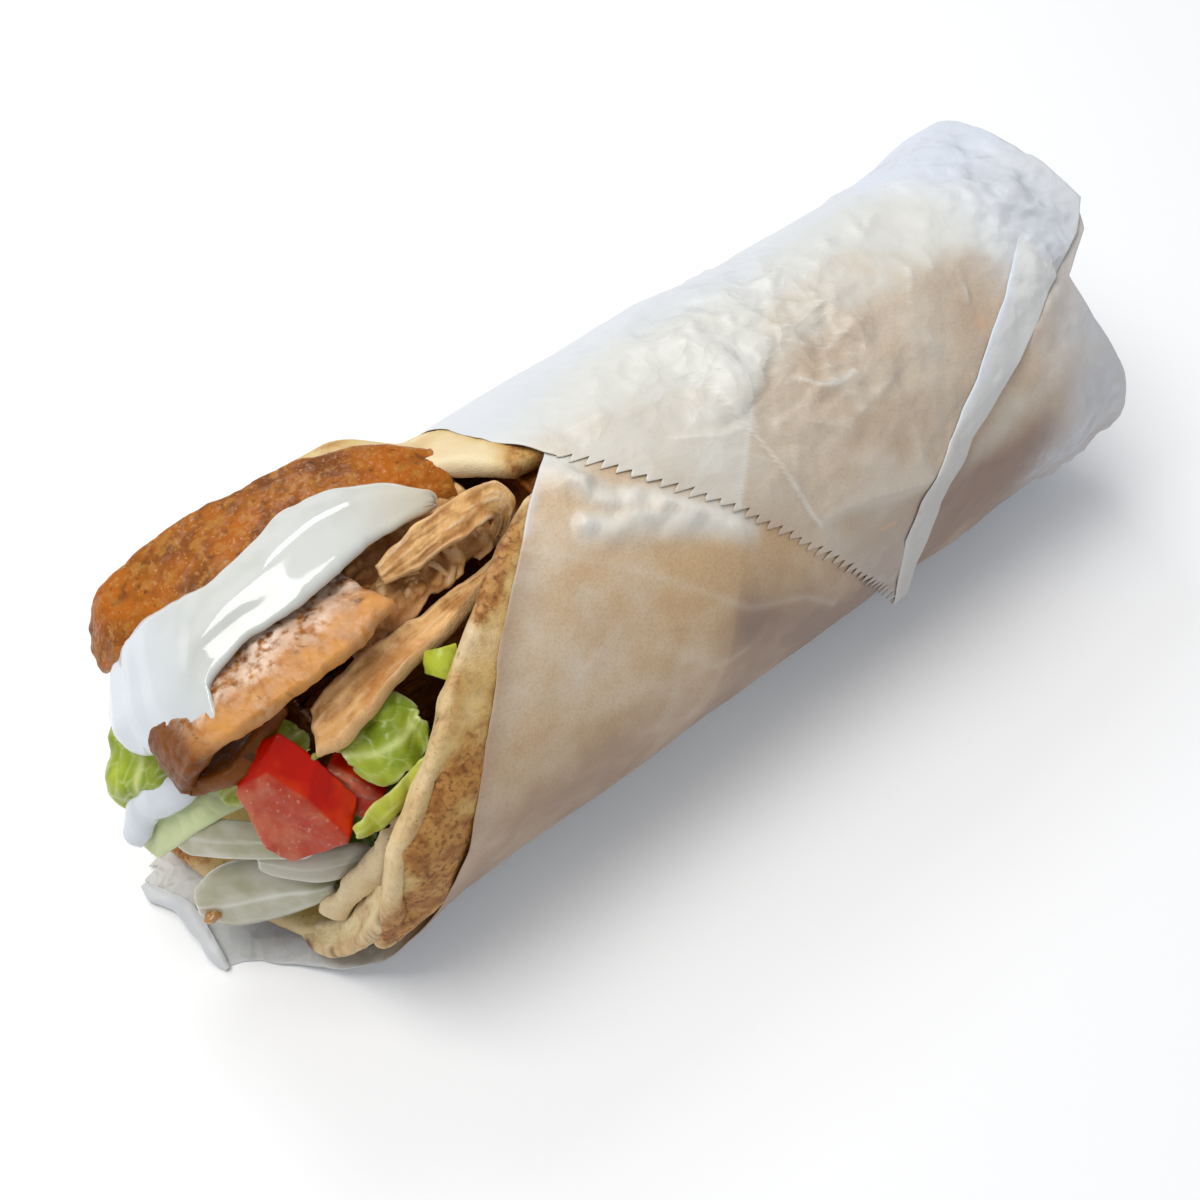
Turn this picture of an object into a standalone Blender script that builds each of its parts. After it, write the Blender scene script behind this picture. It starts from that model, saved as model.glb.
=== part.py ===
"""Gyro wrap: shaved meat, salad and white sauce in a rolled pita, in its own paper.

The roll lies along X on a small flat spot, with the open mouth towards -X and
the folded paper end towards +X. Sizes and places are in millimetres and are
turned into metres as the meshes are made. Angles round the roll are in degrees,
0 at the top and growing towards -Y.
"""

import math

import bmesh
import bpy
import numpy as np
from mathutils import Vector

MM = 0.001

# The roll
MOUTH_RADIUS = 43.6      # outer radius of the paper at MOUTH_X
FAR_RADIUS = 40.6        # outer radius of the paper at FAR_X
MOUTH_X = -103.0
FAR_X = 87.0
SETTLE = 1.2             # how far the roll's round underside is pressed flat
STEP = 8.0               # one facet round the roll, degrees

# Layers, each measured inwards from the outside of the roll
PAPER_WALL = 0.4
OVERLAP_RISE = 0.9       # the paper's second turn lies this far outside its first
OVERLAP_START = 205.0    # where the paper starts to climb over its first turn
OVERLAP_CLIMB = 120.0    # the angle over which it does so
CLEARANCE = 0.5
PITA_WALL = 4.5
PITA_DEPTH = PAPER_WALL + CLEARANCE + PITA_WALL / 2
BED_DEPTH = PAPER_WALL + 2 * CLEARANCE + PITA_WALL

# Paper: (angle round the roll, place along it)
PAPER_TURN = (-44.0, 476.0)
PAPER_MOUTH_EDGE = [(-44, -12), (-3, -20), (20, -39.6), (35, -50.7), (55, -62.5), (73, -71.4),
                    (103, -81), (120, -94), (143, -103), (164, -119), (199, -124), (215, -115),
                    (240, -86), (268, -52), (285, -39), (307, -33), (330, -32), (343, -28),
                    (357, -20), (380, -7), (401, 7.2), (418, 16.1), (437, 27.4), (470, 43.9),
                    (476, 46)]
PAPER_FAR_EDGE = [(-44, 122), (-25, 121), (15, 120), (24, 117), (34, 106), (50, 108), (79, 116),
                  (109, 122), (180, 119), (270, 124), (308, 124), (335, 121), (375, 121),
                  (384, 115), (394, 102.7), (403, 89.6), (412, 76.7), (422, 66), (450, 54),
                  (471, 48.8), (476, 48.6)]
PAPER_ROWS = 9
PAPER_CROWDING = 1.25    # above 1, rows are closer together near the mouth
END_FOLD_STOP = 320.0    # the first turn alone is folded in over the far end
END_FOLD = [(0.15, 0.97, 0.88), (0.5, 0.9, 0.5), (0.85, 0.8, 0.18), (1.0, 0.7, 0.04)]
END_SEAM_HEIGHT = 15.0   # the far end is folded down to a slot near the table
END_SEAM_X = 112.0
LIP_START = -72.0        # beyond this the paper's underside droops to the table
LIP_LENGTH = 40.0
LIP_DROOP = 0.8
PITA_DROOP = 0.7
TAIL_START = 452.0       # the paper's loose tail lifts off the roll after this angle
TAIL_LIFT = 4.5

# Pita: (angle round the roll, place along it)
PITA_TURN = (4.0, 356.0)
PITA_RIM = [(4, -27), (12, -38.5), (26, -52.7), (40, -65.7), (52, -73.7), (58, -79), (73, -87.7),
            (88, -92.3), (104, -95), (122, -88), (138, -98), (155, -104), (180, -110),
            (205, -115), (240, -111), (270, -105), (292, -93), (304, -77), (312, -58),
            (325, -45), (341, -35.5), (353, -29), (356, -27)]
PITA_FAR_EDGE = 88.0
PITA_ROWS = 8
PITA_CROWDING = 1.3
PITA_EDGE = 1.3          # width of the bevel round the bread's edges

# Places where the layers stand out from the roll, or in from it: how far, round which angle,
# within what spread, and from which x over what run (a run below 0 goes towards the mouth)
BACK_LEAN = dict(reach=8.0, angle=310.0, spread=34.0, start=-34.0, run=-16.0)
PAPER_LEAN_LAG = 8.0     # the paper starts to lean this far behind the bread
END_FLARE = dict(reach=5.0, angle=306.0, spread=45.0, start=92.0, run=26.0)
FRONT_PUCKER = dict(reach=4.0, angle=122.0, spread=15.0, start=-74.0, run=-14.0)

# Packed fillings
BED_FAR_X = 84.0
BED_SPLIT_Z = 40.0
MEAT_BED_MOUTH_X = -98.0
SALAD_BED_MOUTH_X = -95.0
BED_OPENINGS = {         # boxes left free for the slices, salad and sauce: X, Y and Z spans
    "meat_bed": [((-120, -26), (-60, 60), (66, 100)), ((-120, -30), (-60, 1), (59, 100)),
                 ((-120, -40), (-60, -12), (30, 100)), ((-120, -84), (-60, 8.5), (48, 100)),
                 ((-120, -92), (-60, 60), (60, 100))],
    "salad_bed": [((-120, -68), (-60, -24), (-1, 41)), ((-120, -84), (-60, -8), (22, 41))],
}

# Colours (linear RGB) and roughness
LOOKS = {
    "paper": ((0.74, 0.70, 0.64), 0.55),
    "pita": ((0.76, 0.56, 0.30), 0.8),
    "meat": ((0.50, 0.24, 0.10), 0.6),
    "sauce": ((0.86, 0.86, 0.82), 0.25),
    "tomato": ((0.72, 0.11, 0.05), 0.3),
    "lettuce": ((0.22, 0.42, 0.05), 0.4),
    "onion": ((0.72, 0.76, 0.60), 0.35),
}

# Slices, leaves and sauce: the upper surface runs from the back edge to the front edge
STRIPS = {
    "meat_slice_back": dict(
        look="meat", wall=4.6, crown=1.5, along=9, across=2,
        back=[(-107, 37.5, 61), (-102, 38.5, 69), (-94, 38, 74), (-78.5, 36.5, 77.5), (-58, 33, 80),
              (-46, 28.5, 80), (-34, 20, 77)],
        front=[(-110, 30, 56), (-106, 24, 64), (-98, 17, 71), (-80, 13, 78), (-58, 13, 79),
               (-46, 11, 79), (-36, 9, 77)]),
    "meat_slice_folded": dict(
        look="meat", wall=4.0, crown=0.8, along=14, across=2,
        back=[(-66, 3.5, 80.5), (-79, 3, 80), (-98, 3, 76), (-106.5, 5, 70), (-111.5, 7, 62),
              (-108, 7, 56), (-99, 5, 58), (-86, 4, 63)],
        front=[(-62.5, -8, 82), (-79.5, -11.5, 81), (-93, -11, 79), (-103.5, -9.5, 75),
               (-109.5, -8, 68), (-111.5, -6.5, 60), (-104, -11.5, 62), (-88, -9, 70)]),
    "meat_strip_upper": dict(
        look="meat", wall=4.0, crown=0.5, along=9, across=1,
        back=[(-62, 3, 85), (-55, 4, 85.5), (-44.5, 3, 85.5), (-34, 2, 85), (-30, -1.5, 81),
              (-31, -4, 75)],
        front=[(-61, 0, 80.5), (-55, 0, 80.5), (-45, -0.5, 80.5), (-38, -1.5, 79.5),
               (-36, -3.5, 77), (-36.5, -5.5, 72)]),
    "meat_slice_lower": dict(
        look="meat", wall=4.2, crown=-1.8, along=8, across=2,
        back=[(-85, -10.5, 71.5), (-76.5, -8.5, 73.5), (-62.5, -8.5, 75), (-48.5, -7.5, 75.5),
              (-37, -6, 75)],
        front=[(-89.5, -19, 69.5), (-83.5, -20.5, 71), (-75, -18.5, 73), (-65.5, -16, 74),
               (-55.5, -14.5, 75), (-43, -10.5, 75)]),
    "meat_shreds": dict(
        look="meat", wall=4.5, crown=1.5, along=6, across=2,
        back=[(-42, 1, 75.5), (-52, 2.5, 76), (-62, 1.5, 75), (-72, -2, 72)],
        front=[(-45, -5, 74), (-53, -6.5, 73.5), (-63, -6.5, 72.5), (-73, -7.5, 70.5)]),
    "sauce_ribbon": dict(
        look="sauce", wall=4.2, crown=2.0, along=7, across=2, soft=True,
        back=[(-112, 28.5, 51.5), (-108.5, 31.5, 61), (-99, 26.5, 74), (-88, 18.5, 81),
              (-76, 19, 83.5), (-65, 21.5, 84.5), (-53, 17, 84.5), (-42, 7, 83)],
        front=[(-114.5, 9.5, 55), (-109.5, -0.5, 67), (-102, -5.5, 76), (-94, -2, 81),
               (-80.5, -1.5, 84), (-65, 2.5, 85.5), (-52, 4.5, 85), (-45, 4, 84)]),
    "sauce_dollop": dict(
        look="sauce", wall=3.0, crown=1.2, along=4, across=1, soft=True,
        back=[(-122.5, 8.5, 34), (-117.5, 11, 42), (-112.5, 8, 48.5), (-107.5, 2, 51.5)],
        front=[(-121.5, 4.5, 33), (-117.5, 4, 40), (-112.5, 0, 46.5), (-107.5, -1.5, 50)]),
    "lettuce_left": dict(
        look="lettuce", wall=1.4, crown=1.5, along=6, across=3, ripple=0.9,
        back=[(-110.5, 23, 52), (-117, 19.5, 48), (-120, 15.5, 42), (-121, 11.5, 37)],
        front=[(-107, 6, 55), (-110.5, 4, 51), (-113, 4, 47.5), (-115, 6, 43)]),
    "lettuce_rib": dict(
        look="lettuce", wall=2.6, crown=0.8, along=6, across=1, soft=True,
        back=[(-121, 8.5, 30), (-116, 8, 38), (-109, 2, 46), (-100, -4, 51)],
        front=[(-119.5, 2.5, 29.5), (-115, -1.5, 37), (-109.5, -5, 43.5), (-101, -8.5, 48)]),
    "lettuce_centre": dict(
        look="lettuce", wall=1.4, crown=2.2, along=6, across=4, ripple=1.0,
        back=[(-84, -13, 65), (-77, -14.5, 67), (-68.5, -17, 69)],
        front=[(-83.5, -26.5, 60.5), (-77.5, -28.5, 61), (-69.5, -27, 63)]),
    "lettuce_sprig": dict(
        look="lettuce", wall=1.4, crown=0.6, along=6, across=1, ripple=0.3,
        back=[(-89.5, -28.5, 55.5), (-85, -28.5, 57.5), (-77, -29.5, 62), (-70, -28.5, 66)],
        front=[(-90, -30.5, 53), (-84.5, -32, 54.5), (-77.5, -32, 59.5), (-70, -31, 64)]),
    "lettuce_dark": dict(
        look="lettuce", wall=1.4, crown=1.0, along=5, across=2, ripple=0.6,
        back=[(-104, -3, 54), (-97, -4, 61), (-88, -6, 65)],
        front=[(-104, -10, 50), (-97, -12, 58), (-87, -14, 62.5)]),
    "onion_arc": dict(
        look="onion", wall=2.6, crown=1.2, along=5, across=1, soft=True,
        back=[(-114, 3.5, 38), (-106, -7, 44), (-96, -20.5, 48)],
        front=[(-115.5, -2.5, 34), (-109, -11.5, 38.5), (-97, -24, 43.5)]),
    "onion_slice": dict(
        look="onion", wall=3.6, crown=2.6, along=5, across=2, soft=True,
        back=[(-116, -1, 20), (-110, -5, 28), (-101, -13.5, 33.5), (-93, -23, 34)],
        front=[(-118.5, -6.5, 12), (-112, -12, 11.5), (-103, -19.5, 16.5), (-93, -27, 27)]),
    "onion_back": dict(
        look="onion", wall=2.6, crown=1.0, along=4, across=1, soft=True,
        back=[(-105, -12, 39), (-95, -21.5, 40.5), (-86.5, -26.5, 40.5)],
        front=[(-105, -16.5, 34.5), (-96.5, -24.5, 33), (-87, -29, 35)]),
}

# Tomato pieces: the corners of the cut face, and how far the piece reaches behind it
WEDGES = {
    "tomato_wedge": dict(
        look="tomato", bevel=0.8, reach=(6.5, 4.5, 5.5),
        corners=[(-98.5, -15.5, 65), (-95, -22, 60.5), (-91.5, -29.5, 51.5), (-97, -26, 47.5),
                 (-101.5, -23.5, 46), (-104.5, -20, 50), (-104, -12.5, 61)]),
    "tomato_piece": dict(
        look="tomato", bevel=0.6, reach=(9.0, 6.0, 1.0),
        corners=[(-88, -18.5, 61), (-85.5, -23, 60), (-82.5, -28, 55.5), (-86.5, -27.5, 52.5),
                 (-89, -22, 53)]),
}

PEPPER_RING = dict(look="lettuce", centre=(-60.5, -19.0, 72.5), radius=3.4, tube=1.3, tilt=(60, 0, 40))

# What gives way to what, so that pieces which lie on each other stay clear
CUTS = [
    ("meat_slice_back", ["pita"]),
    ("meat_shreds", ["meat_slice_lower"]),
    ("sauce_ribbon", ["meat_slice_back", "meat_slice_folded", "meat_strip_upper"]),
    ("tomato_wedge", ["meat_slice_folded"]),
    ("tomato_piece", ["tomato_wedge"]),
    ("lettuce_left", ["sauce_ribbon"]),
    ("sauce_dollop", ["lettuce_left"]),
    ("lettuce_centre", ["meat_slice_lower"]),
    ("lettuce_sprig", ["lettuce_centre", "tomato_wedge", "pita"]),
    ("lettuce_dark", ["meat_slice_folded"]),
    ("onion_arc", ["lettuce_rib"]),
    ("pepper_ring", ["meat_slice_lower", "pita"]),
    ("salad_bed", ["onion_back", "onion_slice"]),
]
SLICE_EDGE = 0.7         # width of the bevel round a slice's edges
CUT_CLEARANCE = 0.9      # how far a cutter's corners stand out from the piece it copies


# --- helpers ---------------------------------------------------------------

def clear_scene():
    for old in list(bpy.data.objects):
        bpy.data.objects.remove(old, do_unlink=True)


def collection(name):
    made = bpy.data.collections.new(name)
    bpy.context.scene.collection.children.link(made)
    return made


def material(look):
    colour, roughness = LOOKS[look]
    made = bpy.data.materials.get(look)
    if made is None:
        made = bpy.data.materials.new(look)
        made.use_nodes = True
        shader = made.node_tree.nodes["Principled BSDF"]
        shader.inputs["Base Color"].default_value = (*colour, 1.0)
        shader.inputs["Roughness"].default_value = roughness
        shader.inputs["Metallic"].default_value = 0.0
        made.diffuse_color = (*colour, 1.0)
    return made


def ease(value):
    """0 below 0, 1 above 1, and a smooth rise between."""
    held = np.clip(value, 0.0, 1.0)
    return held * held * (3.0 - 2.0 * held)


def hump(value, centre, half_width):
    """1 at the centre, easing to 0 at half_width on either side."""
    return 1.0 - ease(np.abs(np.asarray(value, float) - centre) / half_width)


def through(points, at):
    """Cubic Hermite curve through points[:, 1:], read at values of points[:, 0]."""
    table = np.asarray(points, float)
    place, value = table[:, 0], table[:, 1:]
    slope = np.gradient(value, place, axis=0)
    at = np.clip(np.asarray(at, float), place[0], place[-1])
    left = np.clip(np.searchsorted(place, at, side="right") - 1, 0, len(place) - 2)
    width = (place[left + 1] - place[left])[:, None]
    t = (at[:, None] - place[left][:, None]) / width
    start = (2 * t ** 3 - 3 * t ** 2 + 1) * value[left] + (t ** 3 - 2 * t ** 2 + t) * width * slope[left]
    end = (3 * t ** 2 - 2 * t ** 3) * value[left + 1] + (t ** 3 - t ** 2) * width * slope[left + 1]
    return start + end


def edge_value(points, angle):
    return np.interp(angle, [p[0] for p in points], [p[1] for p in points])


def along_edge(points, count):
    """Evenly spread points on a smooth line through the given ones."""
    line = np.asarray(points, float)
    run = np.concatenate([[0.0], np.cumsum(np.linalg.norm(np.diff(line, axis=0), axis=1))])
    table = np.column_stack([run / run[-1], line])
    return through(table, np.linspace(0.0, 1.0, count))


def mapped_grid(name, places, look, home):
    """A grid primitive whose points are moved to places[row, column], in millimetres."""
    rows, columns = places.shape[:2]
    mesh = bpy.data.meshes.new(name)
    grid = bmesh.new()
    bmesh.ops.create_grid(grid, x_segments=columns - 1, y_segments=rows - 1, size=1.0)
    for vert in grid.verts:
        column = round((vert.co.x + 1.0) / 2.0 * (columns - 1))
        row = round((vert.co.y + 1.0) / 2.0 * (rows - 1))
        vert.co = Vector(places[row, column]) * MM
    grid.to_mesh(mesh)
    grid.free()
    made = bpy.data.objects.new(name, mesh)
    mesh.materials.append(material(look))
    home.objects.link(made)
    return made


def wall(made, thickness, offset):
    """Give a sheet its thickness."""
    shell = made.modifiers.new("Wall", "SOLIDIFY")
    shell.thickness = thickness * MM
    shell.offset = offset
    shell.use_even_offset = True


def round_edges(made, width):
    bevel = made.modifiers.new("Edges", "BEVEL")
    bevel.width = width * MM
    bevel.segments = 1
    bevel.limit_method = "ANGLE"
    bevel.angle_limit = math.radians(50)


def soften(made):
    smooth = made.modifiers.new("Soft", "SUBSURF")
    smooth.levels = 1
    smooth.render_levels = 1


def settle(made):
    """Apply the modifiers, so that a cutter can copy the finished piece."""
    graph = bpy.context.evaluated_depsgraph_get()
    finished = bpy.data.meshes.new_from_object(made.evaluated_get(graph))
    made.modifiers.clear()
    made.data = finished
    made.data.shade_smooth()
    made.data.set_sharp_from_angle(angle=math.radians(35))


def cut(made, neighbours, cutters):
    """Take slightly swollen copies of the neighbours out of a piece."""
    for neighbour in neighbours:
        swollen = bpy.data.objects.new("cutter_" + made.name + "_" + neighbour.name,
                                       neighbour.data.copy())
        swollen.hide_render = True
        swollen.display_type = "WIRE"
        cutters.objects.link(swollen)
        swell = swollen.modifiers.new("Swell", "DISPLACE")
        swell.strength = CUT_CLEARANCE * MM
        swell.mid_level = 0.0
        difference = made.modifiers.new("Clear of " + neighbour.name, "BOOLEAN")
        difference.operation = "DIFFERENCE"
        difference.object = swollen


# --- the roll --------------------------------------------------------------

def radius_at(x):
    return MOUTH_RADIUS + (FAR_RADIUS - MOUTH_RADIUS) * (x - MOUTH_X) / (FAR_X - MOUTH_X)


def bulge(shape, angle, x):
    """How far a layer stands out at an angle and a place along the roll."""
    round_roll = hump(angle, shape["angle"], shape["spread"])
    return shape["reach"] * round_roll * ease((x - shape["start"]) / shape["run"])


def on_roll(angle, x, depth, sag=LIP_DROOP):
    """Points at a depth inside the roll's outer surface, pressed flat underneath."""
    turn = np.radians(angle)
    radius = radius_at(x)
    y = -(radius - depth) * np.sin(turn)
    z = radius - SETTLE + (radius - depth) * np.cos(turn)
    z = np.maximum(z, np.minimum(depth, radius))
    droop = sag * ease((LIP_START - x) / LIP_LENGTH) * np.sqrt(np.clip(-np.cos(turn), 0, 1))
    z = z - droop * (z - depth)
    return np.stack([x, y, z], axis=-1)


def paper_wrap(home):
    """One sheet, turned about one and a half times round the roll and folded in at the far end."""
    start, stop = PAPER_TURN
    columns = round((stop - start) / STEP) + 1
    angle = np.linspace(start, stop, columns)
    mouth = edge_value(PAPER_MOUTH_EDGE, angle)
    far = edge_value(PAPER_FAR_EDGE, angle)
    rise = OVERLAP_RISE * ease((angle - OVERLAP_START) / OVERLAP_CLIMB)
    lift = TAIL_LIFT * ease((angle - TAIL_START) / (stop - TAIL_START)) ** 2
    rows = []
    for row in range(PAPER_ROWS + 1):
        x = mouth + (far - mouth) * (row / PAPER_ROWS) ** PAPER_CROWDING
        outward = rise + lift + bulge(END_FLARE, angle % 360.0, x)
        outward += bulge(BACK_LEAN, angle, x - PAPER_LEAN_LAG)
        rows.append(on_roll(angle, x, PAPER_WALL / 2 - outward))
    rim = rows[-1]
    for inward, width, height in END_FOLD:
        ring = rim.copy()
        ring[:, 0] = rim[:, 0] + (END_SEAM_X - rim[:, 0]) * inward
        ring[:, 1] = rim[:, 1] * width
        ring[:, 2] = END_SEAM_HEIGHT + (rim[:, 2] - END_SEAM_HEIGHT) * height
        rows.append(ring)
    places = np.array(rows)
    sheet = mapped_grid("paper_wrap", places, "paper", home)
    drop_end_overlap(sheet, columns)
    wall(sheet, PAPER_WALL, 0.0)
    settle(sheet)
    return sheet


def drop_end_overlap(sheet, columns):
    """Leave the far end's fold to the first turn, so that two turns don't meet there."""
    last = math.floor((END_FOLD_STOP - PAPER_TURN[0]) / STEP)
    mesh = bmesh.new()
    mesh.from_mesh(sheet.data)
    mesh.verts.ensure_lookup_table()
    extra = [vert for vert in mesh.verts
             if vert.index // columns > PAPER_ROWS and vert.index % columns > last]
    bmesh.ops.delete(mesh, geom=extra, context="VERTS")
    mesh.to_mesh(sheet.data)
    mesh.free()


def pita(home):
    """Flatbread rolled just inside the paper, with an open V at the mouth."""
    start, stop = PITA_TURN
    columns = round((stop - start) / STEP) + 1
    angle = np.linspace(start, stop, columns)
    rim = edge_value(PITA_RIM, angle)
    rows = []
    for row in range(PITA_ROWS + 1):
        x = rim + (PITA_FAR_EDGE - rim) * (row / PITA_ROWS) ** PITA_CROWDING
        outward = bulge(BACK_LEAN, angle, x) - bulge(FRONT_PUCKER, angle, x)
        rows.append(on_roll(angle, x, PITA_DEPTH - outward, PITA_DROOP))
    bread = mapped_grid("pita", np.array(rows), "pita", home)
    wall(bread, PITA_WALL, 0.0)
    round_edges(bread, PITA_EDGE)
    settle(bread)
    return bread


def bed(name, look, home, mouth_x, above, below):
    """The packed filling inside the pita, between two heights."""
    length = BED_FAR_X - mouth_x
    mesh = bmesh.new()
    bmesh.ops.create_cone(mesh, cap_ends=True, segments=24, depth=length * MM,
                          radius1=(radius_at(mouth_x) - BED_DEPTH) * MM,
                          radius2=(radius_at(BED_FAR_X) - BED_DEPTH) * MM)
    for vert in mesh.verts:
        x = vert.co.z + (mouth_x + BED_FAR_X) / 2 * MM
        centre = radius_at(x / MM) - SETTLE
        vert.co = Vector((x, vert.co.y, -vert.co.x + centre * MM))
    for height, direction in ((above, -1.0), (below, 1.0)):
        everything = mesh.verts[:] + mesh.edges[:] + mesh.faces[:]
        sliced = bmesh.ops.bisect_plane(mesh, geom=everything, plane_co=(0, 0, height * MM),
                                        plane_no=(0, 0, direction), clear_outer=True)
        rim = [item for item in sliced["geom_cut"] if isinstance(item, bmesh.types.BMEdge)]
        bmesh.ops.holes_fill(mesh, edges=rim)
    bmesh.ops.recalc_face_normals(mesh, faces=mesh.faces[:])
    data = bpy.data.meshes.new(name)
    mesh.to_mesh(data)
    mesh.free()
    made = bpy.data.objects.new(name, data)
    data.materials.append(material(look))
    home.objects.link(made)
    return made


def open_mouth(made, openings, cutters):
    """Clear the space at the mouth where the slices, salad and sauce lie."""
    for number, spans in enumerate(openings, 1):
        mesh = bmesh.new()
        bmesh.ops.create_cube(mesh, size=1.0)
        for vert in mesh.verts:
            vert.co = Vector([(low + high) / 2 + side * (high - low)
                              for side, (low, high) in zip(vert.co, spans)]) * MM
        data = bpy.data.meshes.new(f"cutter_{made.name}_{number}")
        mesh.to_mesh(data)
        mesh.free()
        block = bpy.data.objects.new(data.name, data)
        block.hide_render = True
        block.display_type = "WIRE"
        cutters.objects.link(block)
        opening = made.modifiers.new(f"Opening {number}", "BOOLEAN")
        opening.operation = "DIFFERENCE"
        opening.object = block


# --- slices, leaves, sauce, tomato ---------------------------------------------

def strip(name, size, home):
    """A sheet between two edges, crowned across and rippled along, with its wall below."""
    along = size["along"] + 1
    back = along_edge(size["back"], along)
    front = along_edge(size["front"], along)
    run = np.gradient((back + front) / 2, axis=0)
    up = np.cross(run, front - back)
    up /= np.linalg.norm(up, axis=1)[:, None]
    if up[:, 2].sum() < 0:
        up = -up
    rows = []
    for column in range(size["across"] + 1):
        share = column / size["across"]
        crown = size["crown"] * (1.0 - (2.0 * share - 1.0) ** 2)
        wave = size.get("ripple", 0.0) * np.sin(np.arange(along) * 1.9 + 2.2 * share)
        rows.append(back + (front - back) * share + up * (crown + wave)[:, None])
    sheet = mapped_grid(name, np.array(rows), size["look"], home)
    facing = np.array([face.normal for face in sheet.data.polygons])
    middle = facing.reshape(size["across"], -1, 3).mean(axis=0)
    if np.sum(middle * up[:-1]) < 0:
        sheet.data.flip_normals()
    wall(sheet, size["wall"], -1.0)
    if size.get("soft"):
        soften(sheet)
    elif size["wall"] > 2 * SLICE_EDGE:
        round_edges(sheet, SLICE_EDGE)
    settle(sheet)
    return sheet


def wedge(name, size, home):
    """A block of tomato: its cut face pushed back along the piece's reach."""
    mesh = bmesh.new()
    corners = [mesh.verts.new(Vector(corner) * MM) for corner in size["corners"]]
    face = mesh.faces.new(corners)
    pushed = bmesh.ops.extrude_face_region(mesh, geom=[face])
    moved = [item for item in pushed["geom"] if isinstance(item, bmesh.types.BMVert)]
    bmesh.ops.translate(mesh, verts=moved, vec=Vector(size["reach"]) * MM)
    bmesh.ops.recalc_face_normals(mesh, faces=mesh.faces[:])
    data = bpy.data.meshes.new(name)
    mesh.to_mesh(data)
    mesh.free()
    made = bpy.data.objects.new(name, data)
    data.materials.append(material(size["look"]))
    home.objects.link(made)
    round_edges(made, size["bevel"])
    settle(made)
    return made


def pepper_ring(home):
    """A small cut ring that peeps out beside the lower slice."""
    bpy.ops.mesh.primitive_torus_add(
        location=Vector(PEPPER_RING["centre"]) * MM,
        rotation=[math.radians(turn) for turn in PEPPER_RING["tilt"]],
        major_segments=12, minor_segments=6,
        major_radius=PEPPER_RING["radius"] * MM, minor_radius=PEPPER_RING["tube"] * MM)
    ring = bpy.context.object
    ring.name = "pepper_ring"
    for old in list(ring.users_collection):
        old.objects.unlink(ring)
    home.objects.link(ring)
    ring.data.materials.append(material(PEPPER_RING["look"]))
    ring.data.transform(ring.matrix_basis)
    ring.matrix_basis.identity()
    return ring


def build():
    clear_scene()
    home = collection("gyro_wrap")
    cutters = collection("cutters")
    pieces = {"paper_wrap": paper_wrap(home), "pita": pita(home)}
    pieces["meat_bed"] = bed("meat_bed", "meat", home, MEAT_BED_MOUTH_X,
                             BED_SPLIT_Z + CLEARANCE / 2, 100.0)
    pieces["salad_bed"] = bed("salad_bed", "lettuce", home, SALAD_BED_MOUTH_X,
                              BED_DEPTH, BED_SPLIT_Z - CLEARANCE / 2)
    for name, openings in BED_OPENINGS.items():
        open_mouth(pieces[name], openings, cutters)
    for name, size in STRIPS.items():
        pieces[name] = strip(name, size, home)
    for name, size in WEDGES.items():
        pieces[name] = wedge(name, size, home)
    pieces["pepper_ring"] = pepper_ring(home)
    for name, neighbours in CUTS:
        cut(pieces[name], [pieces[other] for other in neighbours], cutters)
        bpy.context.view_layer.update()
        settle(pieces[name])


build()
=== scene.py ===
import math

import bpy
import numpy as np
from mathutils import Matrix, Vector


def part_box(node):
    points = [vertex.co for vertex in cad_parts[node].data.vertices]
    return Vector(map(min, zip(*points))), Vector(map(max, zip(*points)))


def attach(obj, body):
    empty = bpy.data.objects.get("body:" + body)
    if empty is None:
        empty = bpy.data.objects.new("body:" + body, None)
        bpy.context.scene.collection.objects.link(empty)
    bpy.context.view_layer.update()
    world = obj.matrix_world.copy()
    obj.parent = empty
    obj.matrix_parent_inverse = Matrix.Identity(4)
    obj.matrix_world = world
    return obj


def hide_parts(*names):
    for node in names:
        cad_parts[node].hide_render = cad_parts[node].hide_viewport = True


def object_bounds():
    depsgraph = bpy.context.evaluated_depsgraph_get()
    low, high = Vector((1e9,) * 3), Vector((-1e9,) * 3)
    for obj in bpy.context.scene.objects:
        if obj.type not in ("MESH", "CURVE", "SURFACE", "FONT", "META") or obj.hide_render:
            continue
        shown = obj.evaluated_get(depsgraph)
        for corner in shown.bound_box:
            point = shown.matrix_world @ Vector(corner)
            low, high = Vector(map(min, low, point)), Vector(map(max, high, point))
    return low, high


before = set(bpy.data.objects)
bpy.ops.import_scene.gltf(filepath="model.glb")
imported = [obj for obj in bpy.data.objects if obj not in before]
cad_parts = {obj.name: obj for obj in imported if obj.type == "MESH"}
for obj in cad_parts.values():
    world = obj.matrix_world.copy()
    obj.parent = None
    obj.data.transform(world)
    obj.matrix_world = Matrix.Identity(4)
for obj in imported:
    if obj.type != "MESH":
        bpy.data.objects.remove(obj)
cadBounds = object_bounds()

# Shapes are worked out in millimetres and stored in metres.
mm = 0.001


def middleOf(node):
    low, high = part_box(node)
    return (np.array(low) + np.array(high)) / 2 / mm


def spanOf(node):
    low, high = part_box(node)
    return (np.array(high) - np.array(low)) / mm


# The roll's radii and place come from the paper's box in the frame. Its swellings have a reach, the
# angle and spread round the roll in degrees, and where they start along x and over what run.
roll = dict(
    mouthRadius=spanOf("paper_wrap")[1] / 2 + 0.35, taper=3.0 / 190.0, mouthX=-103.75,
    settle=1.2, middleX=middleOf("paper_wrap")[0], noiseRadius=42.0,
    lipStart=-72.75, lipLength=40.0,
    backLean=dict(reach=8.0, angle=310.0, spread=34.0, start=-34.75, run=-16.0),
    endFlare=dict(reach=5.0, angle=306.0, spread=45.0, start=91.25, run=26.0),
    frontPucker=dict(reach=4.0, angle=122.0, spread=15.0, start=-74.75, run=-14.0))


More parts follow.
